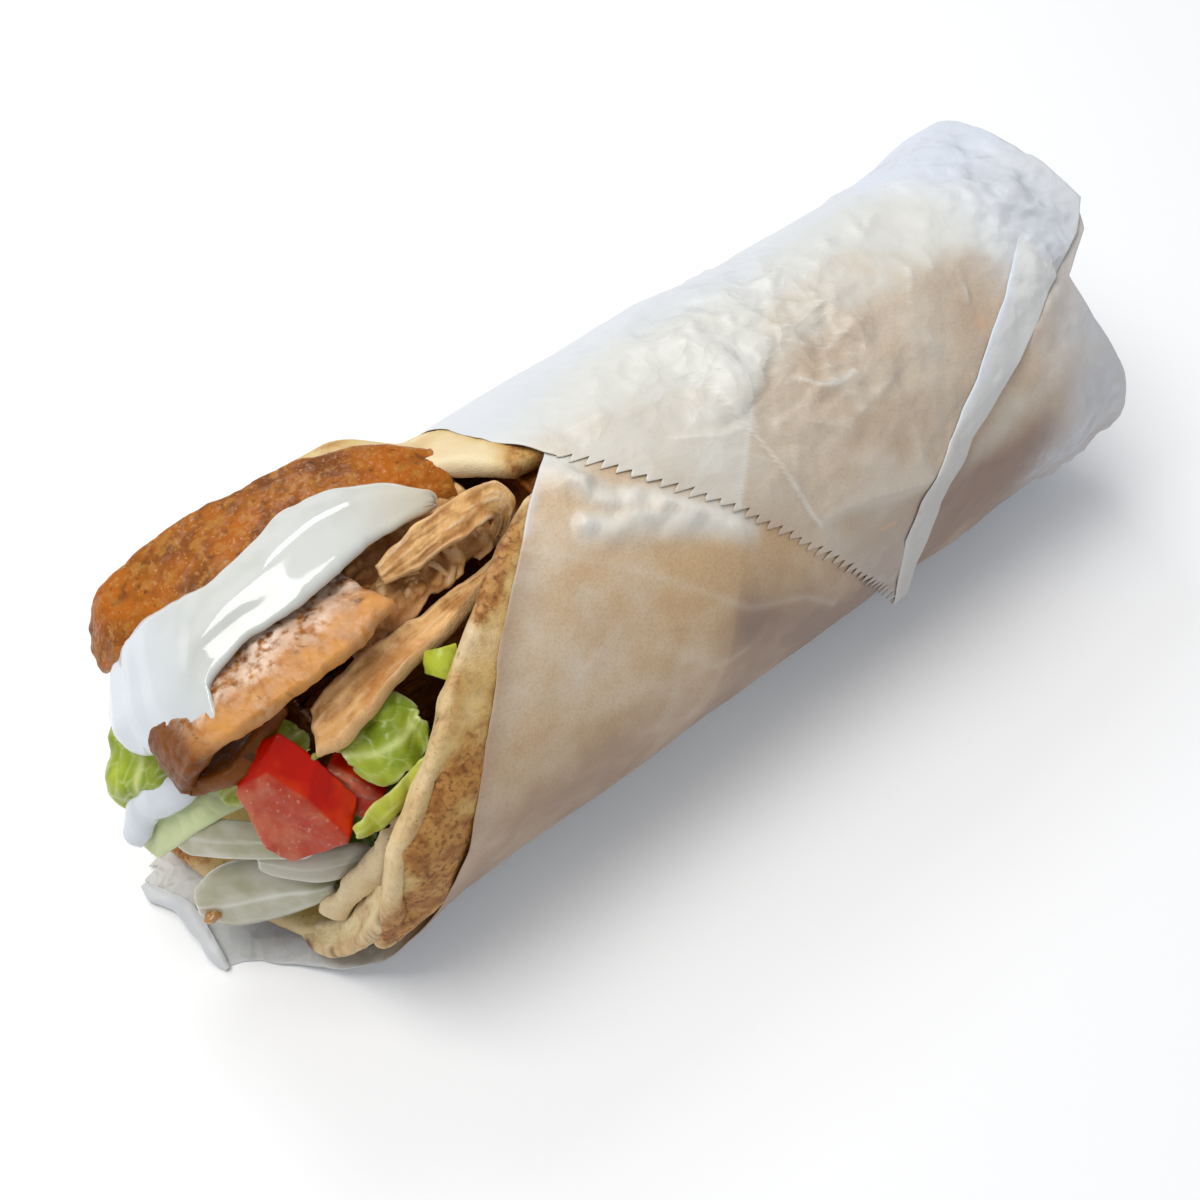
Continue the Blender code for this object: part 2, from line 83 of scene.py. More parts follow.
# 0 below 0, 1 above 1, a smooth rise between
def smoothStep(value):
    held = np.clip(value, 0.0, 1.0)
    return held * held * (3.0 - 2.0 * held)


# 1 at the centre, easing to 0 at halfWidth on either side
def hump(value, centre, halfWidth):
    return 1.0 - smoothStep(np.abs(value - centre) / halfWidth)


# A soft round spot: 1 where both values have their middle, a Gaussian in both spreads
def spot(first, firstMiddle, firstSpread, second, secondMiddle, secondSpread):
    return np.exp(-((first - firstMiddle) / firstSpread) ** 2 - ((second - secondMiddle) / secondSpread) ** 2)


# Cubic Hermite curve through points[:, 1:], read where points[:, 0] equals at
def hermite(points, at):
    table = np.asarray(points, float)
    place, value = table[:, 0], table[:, 1:]
    slope = np.gradient(value, place, axis=0)
    at = np.clip(np.asarray(at, float), place[0], place[-1])
    left = np.clip(np.searchsorted(place, at, side="right") - 1, 0, len(place) - 2)
    width = (place[left + 1] - place[left])[:, None]
    t = (at[:, None] - place[left][:, None]) / width
    start = (2 * t ** 3 - 3 * t ** 2 + 1) * value[left] + (t ** 3 - 2 * t ** 2 + t) * width * slope[left]
    end = (3 * t ** 2 - 2 * t ** 3) * value[left + 1] + (t ** 3 - t ** 2) * width * slope[left + 1]
    return start + end


# A smooth line through the points, read at shares of its length
def alongLine(points, shares):
    line = np.asarray(points, float)
    run = np.concatenate([[0.0], np.cumsum(np.linalg.norm(np.diff(line, axis=0), axis=1))])
    return hermite(np.column_stack([run / run[-1], line]), shares)


def edgeAt(points, angle):
    return np.interp(angle, [p[0] for p in points], [p[1] for p in points])


# Shares from 0 to 1: crowded within the edge distance at both ends, even between
def crowded(length, step, edge, edgeCount=6):
    edge = min(edge, length * 0.3)
    start = edge * (1 - np.cos(np.linspace(0, math.pi / 2, edgeCount)))[:-1]
    inner = np.linspace(edge, length - edge, max(2, round((length - 2 * edge) / step)))
    return np.concatenate([start, inner, length - start[::-1]]) / length


# A fixed pseudo-random number from 0 to 1 for every whole-number corner
def cornerValue(corner, seed):
    mixed = (corner[..., 0] * 374761393 + corner[..., 1] * 668265263
             + corner[..., 2] * 1440662683 + seed * 144665) & 0xFFFFFFFF
    mixed = ((mixed ^ (mixed >> 13)) * 1274126177) & 0xFFFFFFFF
    return (mixed ^ (mixed >> 16)) / 4294967296.0


# Random corner values blended by smooth steps inside each cell, from -1 to 1
def valueNoise(places, seed):
    base = np.floor(places).astype(np.int64)
    part = smoothStep(places - base)
    total = 0.0
    for corner in np.ndindex(2, 2, 2):
        weight = np.prod(np.where(corner, part, 1 - part), axis=-1)
        total = total + weight * cornerValue(base + np.array(corner), seed)
    return 2.0 * total - 1.0


# Value noise summed over octaves, each about half as large and half as strong
def fractal(places, cell, octaves, seed):
    finer, shift, gain = 2.03, 17.3, 1.6
    total, strength, reach = 0.0, 1.0, 0.0
    for octave in range(octaves):
        cells = places * finer ** octave / cell + shift * octave
        total = total + strength * valueNoise(cells, seed + octave)
        reach += strength
        strength *= 0.5
    return total / reach * gain


# The same noise along one line only
def lineNoise(values, cell, octaves, seed):
    return fractal(np.stack([values, 0 * values, 0 * values], axis=-1), cell, octaves, seed)


# Straight facets: random heights at the corners of a triangle lattice, joined by planes
def facets(across, along, cell, seed):
    skew = 0.366 * (across + along) / cell
    u, v = across / cell + skew, along / cell + skew
    baseU, baseV = np.floor(u), np.floor(v)
    partU, partV = u - baseU, v - baseV
    upper = partU > partV

    def height(du, dv):
        corner = np.stack([baseU + du, baseV + dv, 0 * baseU], axis=-1).astype(np.int64)
        return cornerValue(corner, seed) * 2 - 1

    side = np.where(upper, height(1, 0), height(0, 1))
    high, low = np.maximum(partU, partV), np.minimum(partU, partV)
    return height(0, 0) * (1 - high) + side * (high - low) + height(1, 1) * low


# Distances to the nearest and second nearest point, with one jittered point in every square cell
def cellDistances(across, along, cell, seed):
    u, v = across / cell, along / cell
    baseU, baseV = np.floor(u), np.floor(v)
    first = np.full(np.shape(u), 9.0)
    second = first.copy()
    for du in (-1, 0, 1):
        for dv in (-1, 0, 1):
            corner = np.stack([baseU + du, baseV + dv, 0 * baseU], axis=-1).astype(np.int64)
            away = np.hypot(baseU + du + cornerValue(corner, seed) - u,
                            baseV + dv + cornerValue(corner, seed + 1) - v)
            second = np.minimum(second, np.maximum(first, away))
            first = np.minimum(first, away)
    return first * cell, second * cell


# Distance from each place to the nearest of the broken line's segments
def lineDistance(across, along, line):
    nearest = np.full(np.shape(across), 1e6)
    for (a0, b0), (a1, b1) in zip(line[:-1], line[1:]):
        length = (a1 - a0) ** 2 + (b1 - b0) ** 2
        share = np.clip(((across - a0) * (a1 - a0) + (along - b0) * (b1 - b0)) / length, 0, 1)
        nearest = np.minimum(nearest, np.hypot(across - a0 - share * (a1 - a0),
                                               along - b0 - share * (b1 - b0)))
    return nearest


def unit(vectors):
    return vectors / np.linalg.norm(vectors, axis=1)[:, None]


# Unit normals of a grid, from the cross product of its two directions
def gridNormals(places):
    normal = np.cross(np.gradient(places, axis=0), np.gradient(places, axis=1))
    return normal / np.maximum(np.linalg.norm(normal, axis=-1, keepdims=True), 1e-9)


# The same normals, turned to the side that the given directions point to
def normalsTowards(places, directions):
    normal = gridNormals(places)
    return -normal if np.sum(normal * directions) < 0 else normal


# Outward normals of closed rings
def ringNormals(rings):
    wrapped = np.concatenate([rings[:, -1:], rings, rings[:, :1]], axis=1)
    return normalsTowards(wrapped, wrapped - rings.mean(axis=(0, 1)))[:, 1:-1]


# How far each grid point lies from the grid's border, measured along both directions
def borderDistance(places):
    distance = None
    for axis in (0, 1):
        step = np.linalg.norm(np.diff(places, axis=axis), axis=-1)
        start = np.zeros(places.shape[:2])
        if axis == 0:
            start[1:] = np.cumsum(step, axis=0)
        else:
            start[:, 1:] = np.cumsum(step, axis=1)
        stop = start.max(axis=axis, keepdims=True) - start
        near = np.minimum(start, stop)
        distance = near if distance is None else np.minimum(distance, near)
    return distance


def quads(index):
    return np.stack([index[:-1, :-1], index[:-1, 1:], index[1:, 1:], index[1:, :-1]], axis=-1).reshape(-1, 4)


def addObject(name, data):
    added = bpy.data.objects.new(name, data)
    bpy.context.collection.objects.link(added)
    return added


# Puts points and faces into a mesh, with one float attribute for each mask
def meshPiece(name, points, faces, masks, finish, slot, replaced=()):
    mesh = bpy.data.meshes.new(name)
    corners = np.concatenate([np.asarray(part).ravel() for part in faces])
    sizes = np.concatenate([np.full(len(part), part.shape[1]) for part in faces])
    mesh.vertices.add(len(points))
    mesh.vertices.foreach_set("co", (points * mm).ravel())
    mesh.loops.add(len(corners))
    mesh.loops.foreach_set("vertex_index", corners)
    mesh.polygons.add(len(sizes))
    mesh.polygons.foreach_set("loop_start", np.concatenate([[0], np.cumsum(sizes)[:-1]]))
    mesh.update(calc_edges=True)
    mesh.validate()
    mesh.shade_smooth()
    for mask, values in masks.items():
        attribute = mesh.attributes.new(mask, "FLOAT", "POINT")
        attribute.data.foreach_set("value", values.astype(np.float32))
    piece = addObject(name, mesh)
    mesh.materials.append(finish)
    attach(piece, "root")
    if replaced:
        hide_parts(*replaced)
    print(name, len(points), "points")
    return piece


# Two grids that share their border, as one closed skin that faces outwards
def shellPiece(name, upper, lower, masks, *rest):
    rows, columns = upper.shape[:2]
    upIndex = np.arange(rows * columns).reshape(rows, columns)
    downIndex = upIndex.copy()
    downIndex[1:-1, 1:-1] = rows * columns + np.arange((rows - 2) * (columns - 2)).reshape(rows - 2, -1)
    facing = np.cross(np.gradient(upper, axis=0), np.gradient(upper, axis=1))
    outwards = np.sum(facing * (upper - lower)) < 0
    top, bottom = quads(upIndex), quads(downIndex)
    faces = [top, bottom[:, ::-1]] if outwards else [top[:, ::-1], bottom]
    points = np.concatenate([upper.reshape(-1, 3), lower[1:-1, 1:-1].reshape(-1, 3)])
    values = {}
    for mask, value in masks.items():
        above, below = value if isinstance(value, tuple) else (value, value)
        values[mask] = np.concatenate([above.ravel(), below[1:-1, 1:-1].ravel()])
    return meshPiece(name, points, [np.concatenate(faces)], values, *rest)


# Half the wall at each place: a rounded edge of the given radius round the border
def halfWall(middle, wall, edge):
    near = np.clip(borderDistance(middle) / edge, 0, 1)
    return wall / 2 * np.sqrt(1 - (1 - near) ** 2)


# Closed rings with a point at each end, as one closed skin that faces outwards
def ringPiece(name, rings, masks, *rest):
    rows, columns = rings.shape[:2]
    index = np.arange(rows * columns).reshape(rows, columns)
    index = np.concatenate([index, index[:, :1]], axis=1)
    ends = np.array([rings[0].mean(axis=0), rings[-1].mean(axis=0)])
    first, last = rows * columns, rows * columns + 1
    startFan = np.stack([np.full(columns, first), index[0, 1:], index[0, :-1]], axis=-1)
    endFan = np.stack([np.full(columns, last), index[-1, :-1], index[-1, 1:]], axis=-1)
    body = quads(index)
    points = np.concatenate([rings.reshape(-1, 3), ends])
    inside = points.mean(axis=0)
    flat = np.cross(points[body[:, 1]] - points[body[:, 0]], points[body[:, 3]] - points[body[:, 0]])
    if np.sum(flat * (points[body[:, 0]] - inside)) < 0:
        body, startFan, endFan = body[:, ::-1], startFan[:, ::-1], endFan[:, ::-1]
    values = {}
    for mask, value in masks.items():
        values[mask] = np.concatenate([value.ravel(), [value[0].mean(), value[-1].mean()]])
    return meshPiece(name, points, [body, startFan, endFan], values, *rest)


def tone(red, green, blue):
    shares = np.array((red, green, blue)) / 255.0
    linear = np.where(shares < 0.04045, shares / 12.92, ((shares + 0.055) / 1.055) ** 2.4)
    return (*(float(part) for part in linear), 1.0)


# Gives each input of a node a link, where it is a socket, or else a value
def fillInputs(tree, node, inputs):
    for name, value in inputs.items():
        if isinstance(value, bpy.types.NodeSocket):
            tree.links.new(value, node.inputs[name])
        else:
            node.inputs[name].default_value = value


def addNode(tree, kind, inputs, **settings):
    node = tree.nodes.new("ShaderNode" + kind)
    for name, value in settings.items():
        setattr(node, name, value)
    fillInputs(tree, node, inputs)
    return node.outputs


# An empty group with a Vector and number inputs, and one number output
def newGroup(name, output, **inputs):
    group = bpy.data.node_groups.new(name, "ShaderNodeTree")
    face = group.interface
    face.new_socket("Vector", in_out="INPUT", socket_type="NodeSocketVector")
    for socket, value in inputs.items():
        face.new_socket(socket, in_out="INPUT", socket_type="NodeSocketFloat").default_value = value
    face.new_socket(output, in_out="OUTPUT", socket_type="NodeSocketFloat")
    return group, group.nodes.new("NodeGroupInput").outputs, group.nodes.new("NodeGroupOutput")


# A patchy mask from 0 to 1: noise, sharpened between two levels
def mottleGroup():
    group, given, made = newGroup("mottle", "Mask", Scale=0.2, Detail=4.0, Low=0.4, High=0.6)
    noise = addNode(group, "TexNoise", {socket: given[socket] for socket in ("Vector", "Scale", "Detail")})
    levels = {"Value": noise["Fac"], "From Min": given["Low"], "From Max": given["High"]}
    level = addNode(group, "MapRange", levels, interpolation_type="SMOOTHSTEP")
    fillInputs(group, made, {"Mask": level["Result"]})
    return group


# Height for a Bump node: coarse noise plus fine noise, in the same units as the coordinates
def grainGroup():
    group, given, made = newGroup("surfaceGrain", "Height", Coarse=0.5, Fine=3.0, Share=0.4)
    blend = {"Factor": given["Share"]}
    for size, side in (("Coarse", "A"), ("Fine", "B")):
        noise = {"Vector": given["Vector"], "Scale": given[size], "Detail": 3.0}
        blend[side] = addNode(group, "TexNoise", noise)["Fac"]
    blend = addNode(group, "Mix", blend)
    fillInputs(group, made, {"Height": blend["Result"]})
    return group


# Height of a crumpled sheet: cells that dip towards their centres, so that sharp folds stand between
# them; noise moves the cells about first
def crumpleGroup():
    group, given, made = newGroup("crumple", "Height", Scale=0.1, Share=1.0)
    warp = addNode(group, "TexNoise", {"Vector": given["Vector"], "Scale": 0.09, "Detail": 2.0})
    spread = addNode(group, "VectorMath", {0: warp["Color"], "Scale": 9.0}, operation="SCALE")
    moved = addNode(group, "VectorMath", {0: given["Vector"], 1: spread["Vector"]}, operation="ADD")
    cells = addNode(group, "TexVoronoi", {"Vector": moved["Vector"], "Scale": given["Scale"], "Detail": 2.0,
                                          "Roughness": 0.4, "Lacunarity": 2.1})
    height = addNode(group, "Math", {0: cells["Distance"], 1: given["Share"]}, operation="MULTIPLY")
    fillInputs(group, made, {"Height": height[0]})
    return group


mottle = mottleGroup()
surfaceGrain = grainGroup()
crumple = crumpleGroup()


# A material from one dictionary: a base colour, masked layers over it, roughness and grain
def makeFinish(name, base, layers, rough, grain, gloss=None, soft=None):
    finish = bpy.data.materials.new(name)
    finish.use_nodes = True
    tree = finish.node_tree
    place = addNode(tree, "TexCoord", {})["Object"]
    place = addNode(tree, "Mapping", {"Vector": place, "Scale": (1 / mm, 1 / mm, 1 / mm)})["Vector"]
    colour, roughness = tone(*base), rough
    for layer in layers:
        mask = 1.0
        if "mask" in layer:
            mask = addNode(tree, "Attribute", {}, attribute_name=layer["mask"])["Fac"]
        if "scale" in layer:
            levels = {socket: layer[socket.lower()] for socket in ("Scale", "Detail", "Low", "High")}
            patch = addNode(tree, "Group", dict(levels, Vector=place), node_tree=mottle)["Mask"]
            mask = addNode(tree, "Math", {0: mask, 1: patch}, operation="MULTIPLY")[0]
        share = {0: mask, 1: layer.get("share", 1.0)}
        share = addNode(tree, "Math", share, operation="MULTIPLY", use_clamp=True)[0]
        if "colour" in layer:
            blend = {"Factor": share, "A": colour, "B": tone(*layer["colour"])}
            colour = addNode(tree, "Mix", blend, data_type="RGBA")["Result"]
        if "rough" in layer:
            roughness = addNode(tree, "Mix", {"Factor": share, "A": roughness, "B": layer["rough"]})["Result"]
    sizes = {socket: grain[socket.lower()] for socket in ("Coarse", "Fine", "Share")}
    height = addNode(tree, "Group", dict(sizes, Vector=place), node_tree=surfaceGrain)["Height"]
    normal = addNode(tree, "Bump", {"Strength": grain["strength"], "Distance": grain["depth"] * mm,
                                    "Height": height})["Normal"]
    if "crumple" in grain:
        amount = addNode(tree, "Attribute", {}, attribute_name="crumpled")["Fac"]
        height = addNode(tree, "Group", {"Vector": place, "Scale": grain["crumple"], "Share": amount},
                         node_tree=crumple)["Height"]
        normal = addNode(tree, "Bump", {"Strength": 0.9, "Distance": grain["crumpleDepth"] * mm,
                                        "Height": height, "Normal": normal})["Normal"]
    inputs = {"Base Color": colour, "Roughness": roughness, "Normal": normal, **(gloss or {})}
    if soft:
        inputs.update({"Subsurface Weight": soft["weight"], "Subsurface Radius": soft["radius"],
                       "Subsurface Scale": soft["reach"] * mm})
    fillInputs(tree, tree.nodes["Principled BSDF"], inputs)
    return finish


paperFinish = makeFinish(
    "greaseproofPaper", (212, 211, 203),
    [dict(mask="warm", colour=(202, 170, 128)),
     dict(mask="warm", scale=1.8, detail=5, low=0.42, high=0.66, colour=(172, 136, 100), share=0.35),
     # Painted shade, over the bread's own brown where it shows through
     dict(mask="brownAndShade", colour=(134, 108, 92)),
     # Painted shade: the lip, the lower side and the shade lines
     dict(mask="paintedShade", colour=(166, 168, 175)),
     dict(mask="paintedShade", scale=0.3, detail=5, low=0.45, high=0.62, colour=(190, 193, 200), share=0.7),
     # Partly the paper standing off the bread, partly a painted highlight along creases and ridges
     dict(mask="pale", colour=(226, 224, 216)),
     dict(mask="cool", colour=(208, 213, 222)),
     dict(mask="stain", colour=(206, 164, 132))],
    0.42, dict(coarse=0.5, fine=2.5, share=0.35, strength=0.25, depth=0.3, crumple=0.065, crumpleDepth=2.4))
breadFinish = makeFinish(
    "flatbread", (212, 184, 120),
    [dict(scale=0.14, detail=6, low=0.44, high=0.62, colour=(200, 158, 90), share=0.8),
     dict(mask="pale", colour=(230, 212, 172)),
     dict(mask="toast", colour=(182, 124, 58), share=0.8),
     dict(mask="toast", scale=0.3, detail=6, low=0.42, high=0.64, colour=(146, 90, 38), share=0.85),
     dict(mask="toast", scale=1.0, detail=5, low=0.46, high=0.7, colour=(108, 62, 26), share=0.8),
     dict(mask="char", colour=(84, 48, 30)),
     dict(scale=0.8, detail=2, low=0.7, high=0.76, colour=(120, 76, 40), share=0.7)],
    0.6, dict(coarse=0.6, fine=2.4, share=0.4, strength=0.5, depth=0.7), gloss={"Specular IOR Level": 0.25},
    soft=dict(weight=0.1, radius=(1.2, 0.7, 0.4), reach=1.5))
greasy = {"Coat Weight": 0.12, "Coat Roughness": 0.07, "Specular IOR Level": 0.15}
meatFinish = makeFinish(
    "roastMeat", (154, 88, 14),
    [dict(scale=0.16, detail=6, low=0.42, high=0.6, colour=(116, 62, 10)),
     dict(mask="orange", colour=(184, 98, 4), share=0.85),
     dict(scale=0.4, detail=6, low=0.5, high=0.64, colour=(172, 114, 44), share=0.8),
     dict(scale=1.3, detail=4, low=0.58, high=0.68, colour=(200, 150, 90), share=0.45),
     # Partly a pale film, partly painted sheen on the raised grain
     dict(mask="filmAndSheen", scale=0.5, detail=6, low=0.32, high=0.58, colour=(244, 220, 198), rough=0.3),
     # Painted shade in the relief's hollows and over the fold's underside
     dict(mask="hollowShade", colour=(108, 58, 16)),
     dict(mask="rim", colour=(206, 144, 76)),
     dict(mask="char", colour=(58, 38, 22))],
    0.38, dict(coarse=0.9, fine=3.5, share=0.35, strength=0.6, depth=0.5), gloss=greasy)
paleMeatFinish = makeFinish(
    "paleMeat", (226, 178, 116),
    [dict(scale=0.2, detail=6, low=0.44, high=0.64, colour=(184, 130, 72)),
     dict(mask="orange", colour=(192, 124, 58)),
     # Partly a pale film, partly painted sheen on the fibre crests
     dict(mask="filmAndSheen", colour=(232, 206, 172), rough=0.34),
     # Painted shade in the relief's hollows
     dict(mask="hollowShade", colour=(156, 104, 56)),
     dict(mask="rim", colour=(230, 192, 140)),
     dict(mask="char", colour=(84, 52, 28))],
    0.42, dict(coarse=1.1, fine=3.5, share=0.4, strength=0.8, depth=0.5), gloss=greasy)
sauceFinish = makeFinish(
    "yoghurtSauce", (206, 207, 198),
    [dict(scale=0.1, detail=2, low=0.4, high=0.7, colour=(194, 195, 184)),
     # Painted bluish reflection at the left end and painted light over the whole dollop
     dict(mask="bright", colour=(211, 216, 221)),
     dict(mask="thin", colour=(196, 182, 152))],
    0.1, dict(coarse=0.2, fine=0.6, share=0.2, strength=0.04, depth=0.4), gloss={"Specular IOR Level": 0.7},
    soft=dict(weight=0.12, radius=(1.0, 0.9, 0.8), reach=1.5))
wet = {"Coat Weight": 0.16, "Coat Roughness": 0.05, "Specular IOR Level": 0.25}
lettuceFinish = makeFinish(
    "lettuceLeaf", (164, 180, 56),
    [dict(scale=0.12, detail=4, low=0.38, high=0.62, colour=(122, 146, 30)),
     dict(mask="vein", colour=(198, 208, 132)),
     dict(mask="pale", colour=(206, 214, 168)),
     dict(mask="yellow", colour=(204, 198, 70)),
     dict(mask="deep", colour=(60, 84, 16)),
     dict(mask="brownAndShade", colour=(120, 66, 34))],
    0.3, dict(coarse=0.6, fine=2.5, share=0.4, strength=0.3, depth=0.3), gloss=wet,
    soft=dict(weight=0.15, radius=(0.6, 1.0, 0.2), reach=0.8))
pepperFinish = makeFinish(
    "greenPepper", (172, 178, 40),
    [dict(scale=0.3, detail=3, low=0.42, high=0.62, colour=(138, 152, 26)),
     dict(mask="pale", colour=(198, 208, 90))],
    0.2, dict(coarse=0.8, fine=3.0, share=0.4, strength=0.2, depth=0.3), gloss=wet)
tomatoFinish = makeFinish(
    "tomato", (180, 72, 50),
    [dict(scale=0.16, detail=5, low=0.42, high=0.62, colour=(194, 106, 78)),
     dict(mask="flesh", colour=(176, 48, 38)),
     dict(scale=0.9, detail=3, low=0.6, high=0.72, colour=(224, 160, 130), share=0.5),
     dict(mask="skin", colour=(184, 20, 0), rough=0.16),
     dict(mask="skin", scale=0.08, detail=3, low=0.45, high=0.6, colour=(204, 52, 2), rough=0.16)],
    0.24, dict(coarse=0.8, fine=3.0, share=0.4, strength=0.25, depth=0.3),
    gloss={"Coat Weight": 0.12, "Coat Roughness": 0.04, "Specular IOR Level": 0.15},
    soft=dict(weight=0.1, radius=(2.0, 0.5, 0.3), reach=1.2))
onionFinish = makeFinish(
    "onion", (208, 204, 184),
    [dict(scale=0.1, detail=3, low=0.4, high=0.65, colour=(184, 182, 146)),
     # Pale layer lines with painted highlights on the crests, the middle streak and the rim
     dict(mask="line", colour=(246, 246, 236)),
     dict(mask="pink", colour=(196, 170, 158)),
     dict(mask="caramel", colour=(198, 146, 84))],
    0.18, dict(coarse=0.5, fine=2.0, share=0.3, strength=0.12, depth=0.4),
    gloss={"Transmission Weight": 0.3, "IOR": 1.36, "Coat Weight": 0.7, "Coat Roughness": 0.05},
    soft=dict(weight=0.3, radius=(1.0, 1.0, 0.8), reach=2.5))
print("finishes made")


def radiusAt(x):
    return roll["mouthRadius"] - roll["taper"] * (x - roll["mouthX"])


# How far a layer stands out: a hump round the roll times a ramp along it
def bulge(shape, angle, x):
    return shape["reach"] * hump(angle, shape["angle"], shape["spread"]) * smoothStep(
        (x - shape["start"]) / shape["run"])


# Points at a depth inside the tapered roll: a circle pressed flat on the table, drooping at the lip.
# x counts from the paper's middle.
def onRoll(angle, x, depth, sag):
    turn = np.radians(angle)
    radius = radiusAt(x)
    y = -(radius - depth) * np.sin(turn)
    z = radius - roll["settle"] + (radius - depth) * np.cos(turn)
    z = np.maximum(z, np.minimum(depth, radius))
    droop = sag * smoothStep((roll["lipStart"] - x) / roll["lipLength"])
    z = z - droop * np.sqrt(np.clip(-np.cos(turn), 0, 1)) * (z - depth)
    return np.stack([x + roll["middleX"], y, z], axis=-1)


# Places on the unrolled sheet, in millimetres
def unrolled(angle, x, radius):
    return np.stack([np.radians(angle) * radius, x, 0 * x], axis=-1)


# Angles in degrees from the top, round the near side and on; degree is a degree's length along the sheet
paper = dict(
    wall=0.24, edge=0.3, depth=0.2, turnStart=-44.0, underneath=180.0, turnEnd=476.0, sag=0.8,
    climbStart=205.0, climb=120.0, rise=0.8, tailStart=452.0, tailLift=3.5, leanLag=3.0,
    toothPitch=2.4, toothDepth=2.9, toothStart=343.0, toothRadius=43.0, degree=0.733, teethFrom=359.0,
    lipTeeth=(197.0, 212.0), lipFrom=112.0, fillingFrom=262.0, breadUntil=352.0, coveredUntil=114.0,
    mouthEdge=[(-44, -12.8), (-3, -20.8), (20, -40.4), (35, -51.4), (55, -63.2), (73, -72.2),
               (103, -81.8), (120, -94.8), (143, -104), (149, -107.4), (153.5, -110.6), (158.7, -113.4),
               (161.5, -116), (163.5, -120), (168, -121), (176, -120.9), (182, -121.1), (190, -122.6),
               (194.6, -124.2), (198.9, -123.9), (202.2, -120.5), (207, -117.5), (210.4, -114.8),
               (216, -110.8),
               (240, -86.8), (268, -50.8), (285, -37.8), (307, -29.8), (330, -28.8), (343, -26.8),
               (357, -20.8), (380, -7.8), (401, 6.4), (418, 15.4), (437, 26.6), (470, 43.1),
               (476, 45.2)],
    farEdge=[(-44, 121.2), (-25, 120.2), (15, 119.2), (24, 116.2), (34, 105.2), (50, 107.2), (79, 115.2),
             (109, 121.2), (180, 118.2), (270, 123.2), (308, 123.2), (335, 120.2), (375, 120.2),
             (384, 113.2), (391.5, 101.5), (401.6, 89.8), (408, 82.2), (412.4, 74.4), (416.4, 69.3),
             (420.3, 63.7), (426.5, 59.6), (430.4, 55.5), (434.7, 52.6), (442.3, 50.5), (451.4, 48.9),
             (471, 47.4), (476, 47.2)],
    endFold=[(0, 0.0, 1.0, 1.0), (0.15, 0.15, 0.97, 0.88), (0.4, 0.5, 0.9, 0.5), (0.7, 0.85, 0.8, 0.16),
             (1.0, 1.0, 0.7, -0.01)], seamHeight=15.0, seamX=111.2)

# Where the paper is folded, lifted or stained, and the lines along which shade is painted (mauve, shadowFold,
# farDark, farShade, lobeShade): lines of (degrees round the near side, x); bigFold and creamEdge are edges
# read along x, of (x, degrees)
paperLines = dict(
    ridges=[((-16, 28), (-10, 30), (-10, 35), (-8, 40)), ((-22, 36), (-14, 32), (-7, 30), (-2, 31)),
            ((-16, 25), (-10, 22), (-9, 19)), ((-4, 28), (-5, 30), (0, 33), (4, 33.5)),
            ((-16, 45), (-1, 36), (6, 31)),
            ((0, 49), (9, 43), (19, 40)), ((-1, 36), (2, 39), (7, 43)), ((12, 50), (14, 44), (15, 41)),
            ((12, 27), (12.5, 33)), ((16, 32), (23, 36), (25, 40), (24, 44)),
            ((14, 2), (17, 7), (20, 11), (21, 18)),
            ((-2, -20), (-1, -15), (-3, -7)), ((-35, -5), (-26, 3)), ((-29, 52), (-12, 44), (-19, 51)),
            ((-28, 76), (-11, 70), (-19, 79)), ((7, 71), (16, 65.5)), ((15, 81), (24, 78)),
            ((11, 90), (10, 95), (14, 100))],
    farFolds=[((-19, 65), (2, 52.5), (10, 51)), ((-7, 87), (4, 78), (10, 76)),
              ((-30, 98), (-22, 100), (-8, 100), (-1, 105)), ((5, 103), (11.5, 108), (4.5, 116)),
              ((28, 64), (35, 37)), ((-34, 80), (-24, 92), (-16, 104))],
    nearFolds=[((17, -38), (32, -25.5), (44, -16), (66, -1)), ((48.6, -29), (51, -34), (54, -41)),
               ((77, -12.5), (79, -8), (79.5, -3)), ((66, -1), (76, 14), (88, 22))],
    puffs=[((5, -20), (14, -19), (19, -17), (24, -9.6), (34, -2), (42, 5)),
           ((22, -24), (28, -14), (36, -3), (44, 5))],
    mauve=[((20, -41), (35, -53), (59, -68), (76, -78))],
    yellow=[((7, -24), (24, -37), (40, -49), (56, -59), (74, -68))],
    bright=[((-5, -23.4), (1.4, -28), (7, -32), (12.5, -36))],
    shadowFold=[((69, -1), (90, 16), (111, 32))],
    bigFold=[(22, 55), (28, 55.4), (36, 57.5), (49, 63), (56, 64)],
    layerEdge=[(-10, 42), (22.6, 16.5), (38, 6), (61, -3), (71, -6), (107, -18)],
    creamEdge=[(-76, 2), (-22, -3), (-10, -5), (7, -4), (13, -1.5), (21.5, 5.7), (25, 10), (36, -3),
               (45, -8), (60, -10), (73, -5), (85, 6), (92, 22), (109, 36)],
    farPale=[((51, 92), (46, 103), (58, 107)), ((56, 84.6), (67, 72), (72, 60))],
    farTan=[((40, 104), (45, 98), (51, 92), (56, 84)), ((69, 92), (60, 98))],
    farDark=[((79, 66.5), (82, 60), (90, 50)), ((76, 86), (80, 72), (86, 60))],
    farShade=[((-34, 108), (-10, 106), (4, 110)), ((-12, 104), (4, 108), (20, 106), (27, 100))],
    lobeShade=[((72, 106), (85, 111), (91, 101), (96, 90)), ((46, 112), (60, 115))],
    specks=[((69, 35), (70, 39)), ((72, 46), (72.4, 46.3)), ((64, 18), (64.4, 18.3))])


# Distance in millimetres to the nearest of the lines of that name
def toLines(view, x, name):
    nearest = 1e6
    for line in paperLines[name]:
        scaled = [(a * paper["degree"], b) for a, b in line]
        nearest = np.minimum(nearest, lineDistance(view * paper["degree"], x, scaled))
    return nearest


